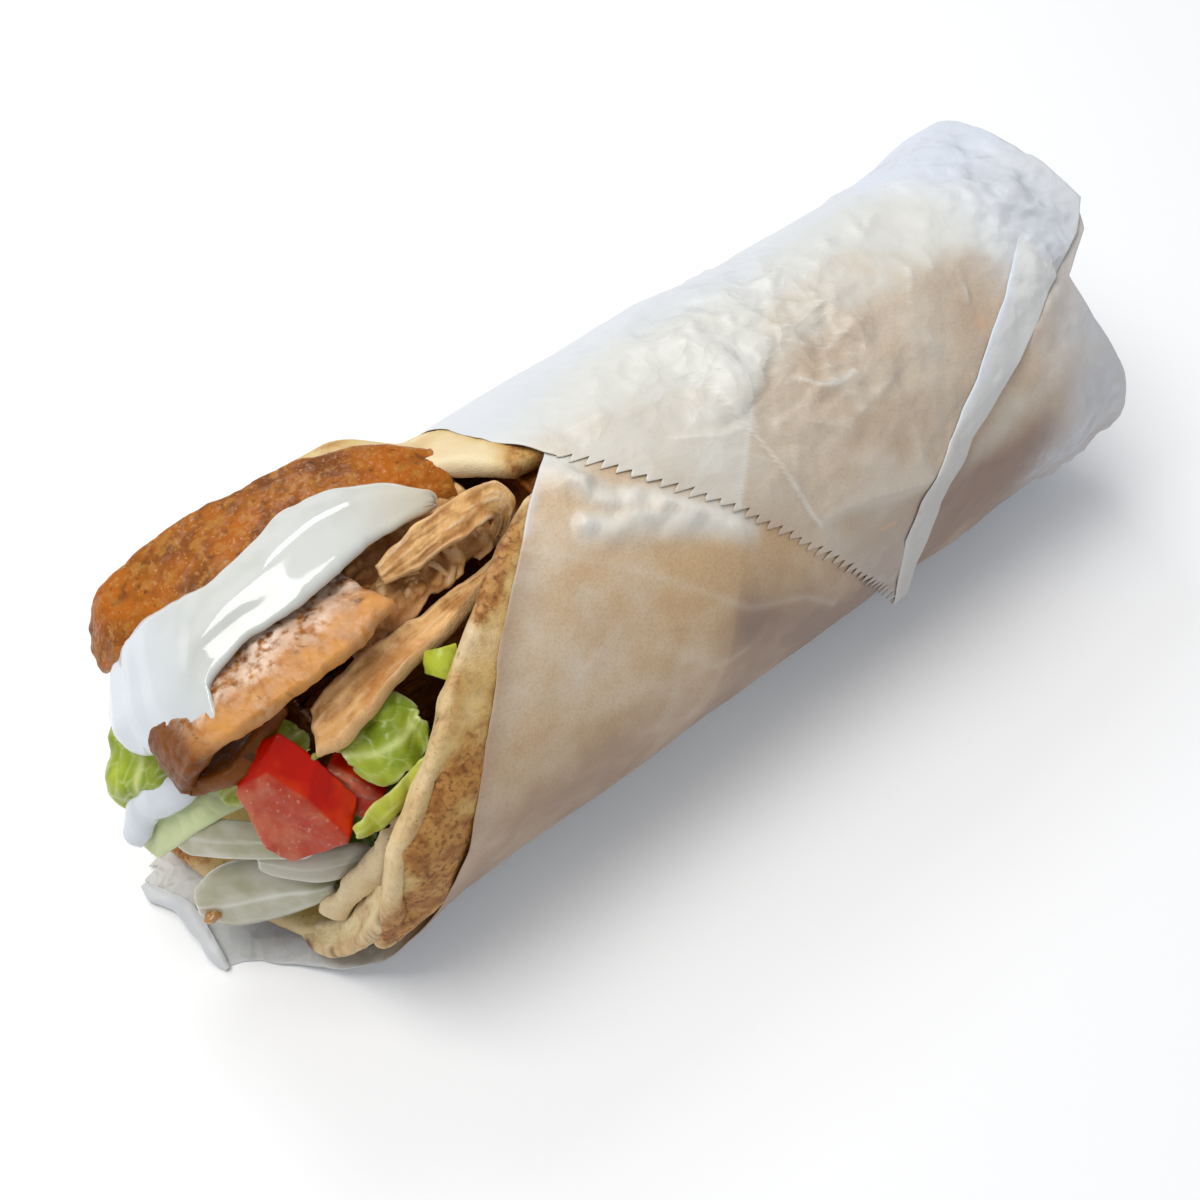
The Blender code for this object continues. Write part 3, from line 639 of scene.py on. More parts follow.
# A soft band along each line: 1 on the line, fading over the width in millimetres
def bands(view, x, name, width):
    return np.exp(-(toLines(view, x, name) / width) ** 2)


# A sharp fold along each line: a ridge whose sides fall away straight
def folds(view, x, name, width):
    return np.exp(-toLines(view, x, name) / width)


def nearSide(angle):
    return np.where(angle > 250, angle - 360, angle)


# Height of the paper over the roll: broad waves, straight facets in three sizes, folds along lines
def paperRelief(angle, x, second):
    view = nearSide(angle)
    places = unrolled(angle, x, roll["noiseRadius"])
    across = places[..., 0]
    warpA = 3.0 * fractal(places, 22.0, 2, 5)
    warpB = 3.0 * fractal(places, 22.0, 2, 11)
    broad = 0.5 * fractal(places, 34.0, 2, 21)
    large = facets(across + warpA, x * 0.8 + warpB, 15.0, 31)
    middle = facets(across * 1.1 + warpB, x + warpA, 7.5, 37)
    small = facets(across + warpB, x * 1.1 + warpA, 3.6, 39)
    busy = 0.15 + 0.6 * smoothStep(fractal(places, 36.0, 2, 41) + 0.3)
    busy = busy + spot(view, -2, 24, x, 36, 26)
    end = smoothStep((x - 84) / 20)
    busy = np.clip(busy + 0.5 * end, 0, 1.3)
    if not second:
        busy = busy * (1 - 0.8 * smoothStep((view - 16) / 14) * smoothStep((30 - x) / 20))
    height = 0.3 + broad + (0.35 + 0.9 * busy + 1.2 * end) * large
    height = height + 0.85 * busy * middle + 0.42 * busy * small
    uneven = 0.6 + 0.5 * fractal(places, 6.0, 2, 45)
    if second:
        height = height + 1.0 * uneven * folds(view, x, "ridges", 2.0)
        height = height + 1.2 * uneven * folds(view, x, "farFolds", 3.5)
        past = view - edgeAt(paperLines["bigFold"], x) + 60 * smoothStep((21 - x) / 8)
        height = height + 1.1 * np.exp(-np.abs(past) / 9) * smoothStep((x - 14) / 8)
        height = height - 0.5 * smoothStep(past / 5)
    else:
        height = height + 0.16 * uneven * folds(view, x, "nearFolds", 1.2)
        height = height + 1.3 * bands(view, x, "puffs", 4.0) * (1 + 0.9 * facets(across, x, 4.0, 43))
    return height


def paperOutward(angle, x):
    rise = paper["rise"] * smoothStep((angle - paper["climbStart"]) / paper["climb"])
    tail = smoothStep((angle - paper["tailStart"]) / (paper["turnEnd"] - paper["tailStart"]))
    flare = bulge(roll["endFlare"], angle % 360.0, x) + bulge(roll["backLean"], angle, x - paper["leanLag"])
    return rise + paper["tailLift"] * tail ** 2 + flare


# How sharply the paper bends at each place: its height above the mean of four places around it
def paperBend(angle, x, second):
    near = 0.7
    step = math.degrees(near / roll["noiseRadius"])
    around = paperRelief(angle + step, x, second) + paperRelief(angle - step, x, second)
    around = around + paperRelief(angle, x + near, second) + paperRelief(angle, x - near, second)
    return paperRelief(angle, x, second) - around / 4


# Where bread and filling show through: tan where the paper lies close on the near side, white where it stands
# off, cool towards the back and the far end. Shade is painted on: brown on the lower side, in hollow creases,
# past the big fold and along the shade lines, grey on the lip and lower side; creases and ridges get a
# painted highlight in pale
def paperMasks(angle, x, height, bend, second):
    view = nearSide(angle)
    places = unrolled(view, x, roll["noiseRadius"])
    cloud = fractal(places, 20.0, 4, 61)
    fine = fractal(places, 4.5, 4, 67)
    low = smoothStep((view - 52 + 8 * cloud) / 50)
    end = smoothStep((x - 80) / 22)
    standsOff = smoothStep((height - 0.75) / 1.1)
    crease = smoothStep(bend / 0.16 - 0.1)
    dip = smoothStep(-bend / 0.2 - 0.1)
    toEdge = x - edgeAt(paperLines["layerEdge"], view)
    inner = smoothStep(toEdge / 0.8 + 0.5) * smoothStep((view - 4) / 12)
    lip = smoothStep((view - paper["lipFrom"]) / 14)
    if second:
        below = smoothStep((view - edgeAt(paperLines["creamEdge"], x) + 5 * cloud) / 12 + 0.5)
        past = smoothStep((view - edgeAt(paperLines["bigFold"], x)) / 1.6 + 0.5)
        past = past * smoothStep((x - 18) / 14)
        warm = below * (0.14 + 0.34 * inner + 0.14 * cloud + 0.1 * fine) * (1 - 0.6 * end)
        # Painted shade past the big fold, in hollow creases and along the farShade lines, over the bread's
        # brown
        brownAndShade = below * inner * (0.14 + 0.1 * cloud + 0.18 * low) + 0.2 * past
        brownAndShade = brownAndShade + 0.05 * below + 0.1 * dip + 0.12 * bands(view, x, "farShade", 6.0)
        # Painted highlight along the ridges and convex creases; white paper where it stands off
        pale = 0.3 * standsOff + 0.15 * bands(view, x, "ridges", 0.8) + 0.4 * crease
        pale = pale + 0.5 * np.exp(-(toEdge / 0.7) ** 2) * smoothStep((view - 10) / 14)
        cool = smoothStep((-view - 8 + 8 * cloud) / 26) * 0.6 + 0.6 * end * smoothStep((40 - view) / 20)
        # Painted shade along the farShade lines and down the lower side
        paintedShade = 0.55 * bands(view, x, "farShade", 7.0) + 0.2 * smoothStep((view - 60) / 30)
    else:
        warm = smoothStep((view + 2) / 14) * (0.86 + 0.2 * cloud + 0.16 * fine) * (1 - lip)
        warm = warm * (1 - 0.15 * bands(view, x, "yellow", 3.4)) * (1 - 0.5 * end)
        # Painted shade along the mauve, shadowFold and farDark lines and on the lower side, over the bread's
        # brown
        brownAndShade = 0.5 * bands(view, x, "mauve", 4.5) + 0.3 * bands(view, x, "shadowFold", 7.0)
        brownAndShade = brownAndShade + low * (0.7 + 0.2 * cloud) + 0.1 * fine + 0.14 * inner
        brownAndShade = brownAndShade + 0.5 * bands(view, x, "farDark", 8.0)
        brownAndShade = brownAndShade * (1 - lip) * smoothStep((view - 2) / 10)
        puff = bands(view, x, "puffs", 3.4)
        warm = warm * (1 - 0.75 * puff) * (1 - 0.6 * bands(view, x, "farPale", 6.0))
        warm = warm + 0.3 * bands(view, x, "farTan", 5.0)
        # Painted highlight along the near folds and convex creases; the puffs are white paper off the bread
        pale = 0.5 * puff * smoothStep(fine + 0.9) + 0.13 * bands(view, x, "nearFolds", 0.8) + 0.3 * crease
        pale = pale * (1 - lip)
        cool = bands(view, x, "bright", 2.2) + 0.4 * end
        # Painted shade over the lip and along the lobeShade lines
        paintedShade = lip * (0.6 + 0.3 * cloud) + 0.55 * bands(view, x, "lobeShade", 9.0)
    stain = 0.6 * np.exp(-((view - 32) * 0.73) ** 2 / 3.0 - (x - 78) ** 2 / 3.0)
    stain = stain + 0.8 * bands(view, x, "specks", 0.4)
    crumpled = 0.3 + 0.9 * spot(view, -6, 26, x, 34, 28) + 0.35 * end
    if not second:
        crumpled = crumpled * (0.6 + 0.8 * smoothStep((20 - view) / 10) * smoothStep((20 - x) / 20))
    found = dict(warm=warm, brownAndShade=brownAndShade, pale=pale, cool=cool, paintedShade=paintedShade, stain=stain * second,
                 crumpled=crumpled + 0.7 * lip)
    return {mask: np.clip(value, 0, 1) for mask, value in found.items()}


# A height over the roll as a place on the paper
def onPaper(angle, x, height):
    return onRoll(angle, x, paper["depth"] - paperOutward(angle, x) - height, paper["sag"])


# The paper lies flatter within 8 mm of its far edge
def calmAtEdge(fromFar):
    return 0.35 + 0.65 * smoothStep(fromFar / 8)


# Directions away from the roll's axis
def fromAxis(middle):
    axisHeight = 40.0
    away = middle - np.array((0, 0, axisHeight))
    away[..., 0] = 0
    return away


def paperSheet(name, middle, normal, masks, *stands):
    half = halfWall(middle, paper["wall"], paper["edge"])[..., None] * normal
    return shellPiece(name, middle + half, middle - half, masks, paperFinish, "paper", *stands)


# One turn of paper: rows from the mouth edge to the far edge, columns round the roll
def paperTurn(name, angles, rows, second):
    length, closeEdge = 180.0, 6.0
    share = crowded(length, length / rows, closeEdge)
    angle = angles[None, :] + 0 * share[:, None]
    mouth = edgeAt(paper["mouthEdge"], angles)
    far = edgeAt(paper["farEdge"], angles)
    mouth = mouth + 0.5 * lineNoise(angles, 9.0, 3, 3)
    x = mouth[None, :] + (far - mouth)[None, :] * share[:, None]
    run = np.radians(angles - paper["toothStart"]) * paper["toothRadius"] / paper["toothPitch"]
    tooth = np.abs((run + 0.001) % 1.0 - 0.5) * 2 - 0.5
    tooth = tooth * (1 + 0.25 * lineNoise(angles, 4.0, 1, 7))
    lipFirst, lipLast = paper["lipTeeth"]
    toothed = smoothStep((angles - lipFirst) / 3) * smoothStep((lipLast - angles) / 3)
    toothed = toothed + smoothStep((angles - paper["teethFrom"]) / 4)
    x = x + (tooth * toothed)[None, :] * paper["toothDepth"] * np.clip(1 - (x - x[:1]) / 3.0, 0, 1)
    fromMouth, fromFar = np.maximum(x - mouth[None, :], 0), x[-1:] - x
    height = paperRelief(angle, x, second) * smoothStep((angle - paper["turnStart"]) / 6 + 0.3)
    masks = paperMasks(angle, x, height, paperBend(angle, x, second), second)
    if second:
        flutter = lineNoise(angles, 9.0, 2, 9)
        curl = (0.02 + 0.25 * flutter) * np.exp(-fromMouth / 2.5) * smoothStep((angles - 354) / 10)
        overFilling = smoothStep((angles - paper["fillingFrom"]) / 14) * np.exp(-fromMouth / 9.0)
        overBread = overFilling * smoothStep((paper["breadUntil"] - angles) / 8)
        height = np.maximum(height, -0.2) * (1 - 0.85 * overFilling) + curl
        height = height - 0.5 * overFilling - 0.75 * overBread + 0.07 * smoothStep((182 - angle) / 2)
    else:
        over = smoothStep((x - edgeAt(paper["mouthEdge"], angles + 360) + 6) / 5)
        over = over * smoothStep((edgeAt(paper["farEdge"], angles + 360) - x + 2) / 6)
        over = over * (angles < paper["coveredUntil"])
        height = np.maximum(height, -0.3) * (1 - over) - 0.2 * over
    middle = onPaper(angle, x, height * calmAtEdge(fromFar))
    middle[..., 2] = np.maximum(middle[..., 2], paper["depth"])
    paperSheet(name, middle, normalsTowards(middle, fromAxis(middle)), masks, ("paper_wrap",))


# Columns round the roll: close where the teeth are, wide where nothing is seen
def paperColumns(start, stop):
    toothStep = math.degrees(paper["toothPitch"] / 4 / paper["toothRadius"])
    lipStart, lipStop, backStop, teeth = 195.0, 214.0, 300.0, paper["toothStart"]
    stretches = ((start, lipStart, 1.1), (lipStart, lipStop, 0.75), (lipStop, backStop, 2.2),
                 (backStop, teeth, 1.1), (teeth, stop, toothStep))
    parts = [np.arange(low, min(high, stop), step) for low, high, step in stretches if low < stop]
    return np.concatenate([*parts, [stop]])


# The far end: the rim turned in over itself down to a flat seam, with pleats that deepen inwards
def paperEndPiece():
    first, last, columns, rows = -42, 320, 300, 46
    angles = np.linspace(first, last, columns)
    share = np.linspace(0, 1, rows)[:, None]
    far = edgeAt(paper["farEdge"], angles) - 0.6
    rim = onPaper(angles, far, 0)[None]
    inward, width, height = hermite(paper["endFold"], share[:, 0]).T[..., None]
    across = np.radians(angles) * roll["noiseRadius"] + 0 * share
    depth = share * 40.0 + 0 * angles
    pleat = facets(across * 1.3 + 4 * share, depth * 0.35, 11.0, 71) * 2.2 * smoothStep(share * 3)
    pleat = pleat + 0.9 * facets(across, depth, 8.0, 73) * smoothStep(share * 5)
    pleat = pleat * (1 - smoothStep(share * 2.5 - 1.5))
    pleat = pleat * smoothStep((angles - first) / 16) * smoothStep((last - angles) / 16)
    x = rim[..., 0] + (roll["middleX"] + paper["seamX"] - rim[..., 0]) * inward + pleat * (1 - 0.5 * share)
    x = np.minimum(x, cadBounds[1][0] / mm + 0.5)
    z = paper["seamHeight"] + (rim[..., 2] - paper["seamHeight"]) * height
    middle = np.stack([x, rim[..., 1] * width, z], axis=-1)
    masks = paperMasks(angles + 0 * depth, x - roll["middleX"], 0 * depth, 0 * depth, False)
    paperSheet("paperEnd", middle, normalsTowards(middle, np.array((1.0, 0, 0))), masks)


# Where the far edge of the second turn is folded back on itself, from the far lobe to the tail
hem = dict(
    start=16.0, stop=115.5, lift=0.5, above=0.32,
    foldLine=[(16, 99), (20, 95.2), (24.3, 90.7), (29.4, 86.1), (35.5, 79.3), (45, 69.7), (50.4, 63.7),
              (57.7, 57), (64.4, 50.2), (69, 46.6), (80.6, 42.4), (95, 42.8), (105, 43.3), (116, 43.8)],
    edgeLine=[(16, 101), (24, 103.6), (32, 101.3), (34.6, 97.3), (41.6, 90.2), (48, 82.6), (52.4, 74.8),
              (56.4, 69.7), (60.3, 64.1), (66.5, 60), (70.4, 55.9), (74.7, 53), (82.3, 50.9), (91.4, 49.3),
              (112, 47.7), (116, 47.5)])


# The doubled hem follows the turn under it, a little above, with a raised fold along its inner side painted
# bright as a highlight that fades down the side, and painted shade on its lower side
def hemPiece():
    view = (hem["start"] + (hem["stop"] - hem["start"]) * crowded(1.0, 0.004, 0.01, 4))[:, None]
    across = crowded(10.0, 0.4, 1.0, 6)
    inner, outer = edgeAt(hem["foldLine"], view), edgeAt(hem["edgeLine"], view)
    x = inner + (outer - inner) * across
    angle = view + 360 + 0 * x
    angle = angle + smoothStep((view - 108) / 6) * 1.5 * (np.abs((across * 3.2) % 1.0 - 0.5) * 2 - 0.5)
    under = paperRelief(angle, x, True) * calmAtEdge(outer - x)
    roundFold = np.sqrt(np.clip(1 - (1 - np.clip(across * 6, 0, 1)) ** 2, 0, 1))
    lift = hem["lift"] * (1 - 0.6 * smoothStep((view - 45) / 20)) * roundFold * np.exp(-across * 3)
    lift = lift + 0.1 * facets(np.radians(angle) * roll["noiseRadius"], x, 6.0, 79)
    lift = lift * smoothStep((view - hem["start"]) / 6) + hem["above"]
    middle = onPaper(angle, x, under + lift)
    masks = paperMasks(angle, x, 0 * x, 0 * x, True)
    # Painted highlight along the fold, fading down the side; painted shade growing on the lower side
    fold = np.exp(-across * 9) * (1 - 0.8 * smoothStep((view - 42) / 20))
    lower = smoothStep((view - 40) / 34)
    masks["cool"] = np.clip(0.3 * (1 - lower) + fold, 0, 1)
    masks["brownAndShade"] = np.clip(0.02 + 0.36 * lower - 0.3 * fold, 0, 1)
    masks["paintedShade"] = np.clip(0.15 + 0.2 * lower - fold, 0, 1)
    masks["warm"], masks["pale"] = 0.05 + 0 * x, np.clip(0.15 + fold, 0, 1)
    paperSheet("paperHem", middle, normalsTowards(middle, fromAxis(middle)), masks)


paperTurn("paperFirstTurn", paperColumns(paper["turnStart"], paper["underneath"]), 230, False)
paperTurn("paperSecondTurn", paperColumns(paper["underneath"] - 2.5, paper["turnEnd"]), 168, True)
paperEndPiece()
hemPiece()

bread = dict(
    wall=4.4, edge=2.4, turnStart=4.0, turnEnd=356.0, sag=0.7, farEdge=87.2, depth=3.2, noiseRadius=40.0,
    columns=340, groove=[(54, -72), (58.6, -76), (66, -81), (72, -85.8), (87, -88.7), (96, -88.7)],
    rim=[(4, -27.8), (12, -39.3), (26, -53.5), (40, -66.5), (52, -74.5), (58, -79.8), (73, -88.5),
         (88, -93), (104, -95.8), (122, -88.8), (138, -98.8), (155, -104.8), (180, -110.8),
         (205, -115.8), (240, -111.8), (270, -105.8), (292, -93.8), (304, -77.8), (312, -58.8),
         (325, -45.8), (341, -36.3), (353, -29.8), (356, -27.8)])


# One turn of bread: its bare rim is wavy, with a groove where the flap is folded over, and both
# faces are bubbled
def breadPiece():
    angles = np.linspace(bread["turnStart"], bread["turnEnd"], bread["columns"])
    length, step, closeEdge, edgeRows, pull = 190.0, 1.5, 2.6, 8, 1.15
    share = crowded(length, step, closeEdge, edgeRows) ** pull
    angle = angles + 0 * share[:, None]
    rim = edgeAt(bread["rim"], angles) + 0.9 * lineNoise(angles * 0.7, 12.0, 3, 81)
    x = rim + (bread["farEdge"] - rim) * share[:, None]
    places = unrolled(angle, x, bread["noiseRadius"])
    fromRim = x - rim
    outward = bulge(roll["backLean"], angle, x) - bulge(roll["frontPucker"], angle, x)
    bare = smoothStep((edgeAt(paper["mouthEdge"], angles) - x + 4) / 6)
    wave = bare * (0.6 * fractal(places, 16.0, 3, 83) + 0.2 * fractal(places, 5.0, 3, 87))
    flatPlace = angle * paper["degree"]
    groove = lineDistance(flatPlace, x, [(a * paper["degree"], b) for a, b in bread["groove"]])
    deep = smoothStep((angle - 50) / 12) * smoothStep((112 - angle) / 10)
    wave = wave - 1.5 * deep * np.exp(-(groove / 1.5) ** 2)
    wave = wave + 0.8 * deep * np.exp(-((groove - 7) / 5.0) ** 2) * (fromRim > 4)
    middle = onRoll(angle, x, bread["depth"] + 0.35 * (1 - bare) - outward - wave, bread["sag"])
    normal = normalsTowards(middle, fromAxis(middle))
    half = halfWall(middle, bread["wall"], bread["edge"]) * (1 + 0.1 * fractal(places, 9.0, 2, 91))
    bubbles = 0.16 * fractal(places, 2.6, 3, 93) * np.clip(borderDistance(middle) / bread["edge"], 0, 1)
    upper = middle + normal * (half + bubbles)[..., None]
    lower = middle - normal * (half + 1.2 * bubbles)[..., None]
    cloud = fractal(places, 11.0, 4, 95)
    band = np.exp(-((fromRim - 6) / 6.0) ** 2)
    patch = spot(angle, 84, 16, x, -77, 8) + 0.9 * spot(angle, 20, 12, fromRim, 3, 4)
    toast = smoothStep((cloud + 0.25) / 0.7) * band * 0.9 + 1.1 * smoothStep(cloud * 0.6 + 1.5 * patch - 0.2)
    toast = toast + 0.5 * smoothStep((cloud - 0.2) / 0.5) + 0.2 * smoothStep((100 - angle) / 20)
    char = 0.5 * smoothStep((fractal(places, 1.6, 2, 97) - 0.5) / 0.3) * smoothStep(2.2 - fromRim / 1.2)
    char = char * smoothStep((60 - angle) / 30) + 0.8 * spot(angle, 11, 3, fromRim, 0.5, 1.2)
    pale = np.exp(-(fromRim / 2.6) ** 2) * 0.55 + 0.8 * smoothStep(-cloud) * bare
    inner = 0.4 * toast + 0.9 * spot(angle, 196, 9, fromRim, 3, 4) * smoothStep(cloud + 0.6)
    masks = dict(toast=(np.clip(toast, 0, 1), np.clip(inner, 0, 1)), char=np.clip(char, 0, 1),
                 pale=np.clip(pale, 0, 1))
    shellPiece("flatbread", upper, lower, masks, breadFinish, "bread", ("pita",))


breadPiece()


# A strip between two edges, both given from the middle of its node's box: a crown across it,
# ragged borders, a rounded edge and a relief that stands out along its normals
def stripPiece(name, settings, finish, slot):
    centre = middleOf(settings["node"])
    backLine, frontLine = np.array(settings["back"]), np.array(settings["front"])
    core = (backLine[:len(frontLine)] + frontLine[:len(backLine)]) / 2
    length = np.linalg.norm(np.diff(core, axis=0), axis=1).sum()
    width = np.linalg.norm(alongLine(frontLine, [0.5]) - alongLine(backLine, [0.5]))
    step, edge = settings.get("step", 0.4), settings.get("edge", 1.6)
    along, across = crowded(length, step, edge), crowded(width, step, edge)
    back, front = alongLine(backLine, along) + centre, alongLine(frontLine, along) + centre
    run = unit(np.gradient((back + front) / 2, axis=0))
    up = unit(np.cross(run, front - back))
    if up[:, 2].sum() < 0:
        up = -up
    u, v = across[None, :], along[:, None]
    seed = settings.get("seed", 1)
    rag = settings.get("rag", 0.0)

    def ragged(shares, size, number):
        return rag * lineNoise(shares * size, settings.get("ragCell", 5.0), 3, seed + number)

    if settings.get("roundEnds"):
        near = np.clip(np.minimum(along, 1 - along) * length / settings["roundEnds"] + 0.04, 0, 1)
        narrow = np.sqrt(1 - (1 - near) ** 2)[:, None]
        core = (back + front) / 2
        back, front = core + (back - core) * narrow, core + (front - core) * narrow

    spread = unit(front - back)
    places = back[:, None] + (front - back)[:, None] * u[..., None]
    sideways = ragged(v, length, 1) * u ** 3 - ragged(v, length, 2) * (1 - u) ** 3
    lengthways = ragged(u, width, 3) * smoothStep((v - 1) * length / 8 + 1)
    lengthways = lengthways - ragged(u, width, 4) * smoothStep(1 - v * length / 8)
    places = places + spread[:, None] * sideways[..., None] + run[:, None] * lengthways[..., None]
    crown = settings["crown"] * (1 - (2 * u - 1) ** 2)
    if "ripple" in settings:
        crown = crown + settings["ripple"] * np.sin(v * settings["waves"] * 1.9 + 2.2 * u)
    flat = np.stack([v * length + 0 * u, u * width + 0 * v, 0 * u * v + seed * 7.7], axis=-1)
    if "crinkle" in settings:
        crown = crown + settings["crinkle"] * fractal(flat, 6.0, 3, seed + 5)
    wall = settings["wall"]
    middle = places + up[:, None] * (crown - settings.get("lowered", 0.5) * wall)[..., None]
    normal = normalsTowards(middle, up[:, None])
    half = halfWall(middle, wall, edge)
    border = borderDistance(middle)
    relief = settings["relief"](flat)
    masks = settings["masks"](flat, border, u + 0 * v, v + 0 * u, relief)
    relief = relief * (0.25 + 0.75 * smoothStep(border / (1.5 * edge)))
    upper = middle + normal * (half + relief)[..., None]
    lower = middle - normal * (half + 0.6 * relief)[..., None]
    for mask, share in settings.get("shares", {}).items():
        masks[mask] = masks[mask] * share
    return shellPiece(name, upper, lower, masks, finish, slot, settings.get("stands", (settings["node"],)))


# The folded edge of the lip: a narrow doubled band turned up along the paper's end, with painted shade all
# over and a painted highlight (shine) towards its back edge
def lipMasks(flat, border, u, v, relief):
    shine = 0.5 + 0.4 * fractal(flat, 3.0, 2, 57)
    return dict(warm=0 * u, brownAndShade=0 * u, paintedShade=0.45 + 0 * u, pale=np.clip(shine * (1 - u), 0, 1) * 0.6,
                cool=np.clip(0.5 + 0.5 * np.exp(-border / 0.5), 0, 1) * 0.5, stain=0 * u,
                crumpled=0.3 + 0 * u)


def lipRelief(flat):
    return 0.2 * fractal(flat, 4.0, 2, 59)


stripPiece("paperLipFold", dict(
    node="paper_wrap", stands=(), wall=0.2, crown=0.5, seed=21, edge=0.2, rag=0.5, relief=lipRelief,
    masks=lipMasks,
    back=[(-123.2, 13.9, -40.9), (-121.2, 9.3, -40.1), (-119, 4.9, -39.5), (-118, -2.6, -39.3),
          (-118.4, -9, -39.5), (-119.2, -13, -41)],
    front=[(-124.6, 14.6, -41.2), (-125.2, 10.9, -40.9), (-122.2, 4.8, -40.3), (-121.6, -3.4, -40),
           (-121.8, -9.4, -40.4), (-120.3, -13.4, -41.4)]), paperFinish, "paper")


# Porous bread, and the smooth pale skin of a fold
def crumbRelief(flat):
    pores = cellDistances(flat[..., 0], flat[..., 1], 1.9, 181)[0]
    lumps = 0.35 * fractal(flat, 6.0, 3, 183) + 0.14 * fractal(flat, 1.4, 3, 185)
    return lumps - 0.35 * smoothStep(1 - pores / 0.6)


def skinRelief(flat):
    return 0.3 * fractal(flat, 8.0, 3, 187) + 0.06 * fractal(flat, 2.0, 2, 189)


# The lobe's own pale crumb, lighter on the raised crumb as a painted highlight
def lobeMasks(flat, border, u, v, relief):
    char = smoothStep(1 - border / 1.6) * smoothStep((u - 0.6) / 0.2)
    char = char * smoothStep(fractal(flat, 3.0, 3, 191) + 0.1)
    toast = 0.5 * smoothStep(fractal(flat, 5.0, 3, 193))
    toast = toast + 0.5 * smoothStep(1 - border / 2.5) * smoothStep((u - 0.5) / 0.3)
    return dict(toast=np.clip(toast, 0, 1) * 0.55, char=char * 0.9,
                pale=0.55 + 0.4 * smoothStep(relief / 0.3 + 0.5))


def tongueMasks(flat, border, u, v, relief):
    toast = 0.6 * smoothStep(fractal(flat, 7.0, 3, 195) - 0.1) + 0.25
    return dict(toast=toast * 0.35, char=0 * u, pale=0.9 + 0 * u)


breadFolds = {
    "breadLobe": dict(
        wall=3.6, crown=-1.3, rag=0.5, seed=22, edge=1.7, relief=crumbRelief, masks=lobeMasks, lowered=0.35,
        back=[(-86.2, -12.8, -35.7), (-85.4, -17.7, -33.7), (-83.8, -22.3, -29.7), (-82, -25.1, -25.7),
              (-80.1, -27.3, -19.7), (-77.6, -29.1, -13.7), (-74.7, -31.4, -5.7)],
        front=[(-90.1, -11, -38.7), (-89.9, -15.4, -37.7), (-90.1, -23.1, -33.7), (-88.4, -29.8, -27.7),
               (-84.3, -35.7, -16.7), (-81.3, -39.0, -7.7), (-79.6, -39.6, -1.7)]),
    "breadTongue": dict(
        wall=3.4, crown=0.9, rag=0.7, crinkle=0.6, seed=23, edge=1.7, relief=skinRelief, masks=tongueMasks,
        lowered=0.4,
        back=[(-68.7, -31.2, 9.3), (-70.9, -32.6, 5.3), (-73.3, -33.9, 0.3), (-75.5, -32.3, -6.7),
              (-78.4, -30.4, -13.7), (-83, -27, -23.7)],
        front=[(-69.9, -30.7, 8.3), (-73.9, -29.7, 2.3), (-77.9, -28.9, -3.7), (-81.3, -27.9, -8.7),
               (-83.8, -26.2, -13.7), (-86.4, -23.8, -21.7)]),
}
for name, settings in breadFolds.items():
    stripPiece(name, dict(settings, node="pita"), breadFinish, "bread")


# Pressed meat cut thin: lumps, fine grains, pores and faint short fibres
def meatRelief(flat):
    grains = fractal(flat, 1.3, 2, 107)
    pores = cellDistances(flat[..., 0], flat[..., 1], 2.6, 104)[0]
    return (0.42 * fractal(flat, 8.0, 3, 101) + 0.14 * fractal(flat * np.array((0.5, 1, 1)), 2.4, 2, 103)
            + 0.1 * grains - 0.22 * smoothStep(1 - pores / 0.7))


# The film patches are painted sheen where the grain is raised; the hollows of the relief get painted shade
def meatMasks(flat, border, u, v, relief):
    specks = smoothStep((fractal(flat, 1.3, 3, 111) - 0.8) / 0.2)
    specks = specks + 0.8 * smoothStep((fractal(flat, 3.6, 4, 112) - 0.85) / 0.2)
    filmAndSheen = smoothStep(fractal(flat, 9.0, 3, 115) + 0.1) * smoothStep((relief + 0.02) / 0.22)
    return dict(char=np.clip(specks, 0, 1) * 0.7, orange=smoothStep(fractal(flat, 12.0, 3, 117) + 0.3) * 0.8,
                filmAndSheen=filmAndSheen * 0.75, hollowShade=smoothStep((-relief - 0.08) / 0.3) * 0.8,
                rim=np.exp(-(border / 0.9) ** 2) * 0.6)


# The folded slice: a pale greasy film over its upper face, a smooth lighter band along the near edge and
# painted shade over the fold's underside
def foldedMasks(flat, border, u, v, relief):
    found = meatMasks(flat, border, u, v, relief)
    upperFace = smoothStep((0.55 - v) / 0.1)
    filmAndSheen = 0.5 + 0.5 * smoothStep(fractal(flat, 5.0, 4, 115) + 0.45)
    found["filmAndSheen"] = filmAndSheen * (0.4 + 0.6 * smoothStep((0.8 - u) / 0.3)) * upperFace
    found["orange"] = 0.3 * found["orange"] + 0.2 * smoothStep((u - 0.68) / 0.14)
    found["rim"] = (0.75 + 0.35 * fractal(flat, 2.5, 3, 118)) * smoothStep((u - 0.4) / 0.4) * upperFace
    found["hollowShade"] = np.maximum(found["hollowShade"] * 0.7, 0.8 * (1 - upperFace))
    return found


# Meat cut along the grain: long fibres, with a split here and there
def fibreRelief(flat):
    drift = flat + np.stack([0 * flat[..., 0], 1.2 * fractal(flat, 14.0, 2, 121), 0 * flat[..., 0]], axis=-1)
    fibres = fractal(drift * np.array((1 / 9.0, 1 / 1.1, 1)), 1.0, 3, 123)
    cords = fractal(drift * np.array((1 / 16.0, 1 / 3.2, 1)), 1.0, 2, 125)
    return 0.3 * fibres + 0.14 * cords + 0.12 * fractal(flat, 6.0, 2, 127) + 0.08 * fractal(flat, 1.3, 2, 129)


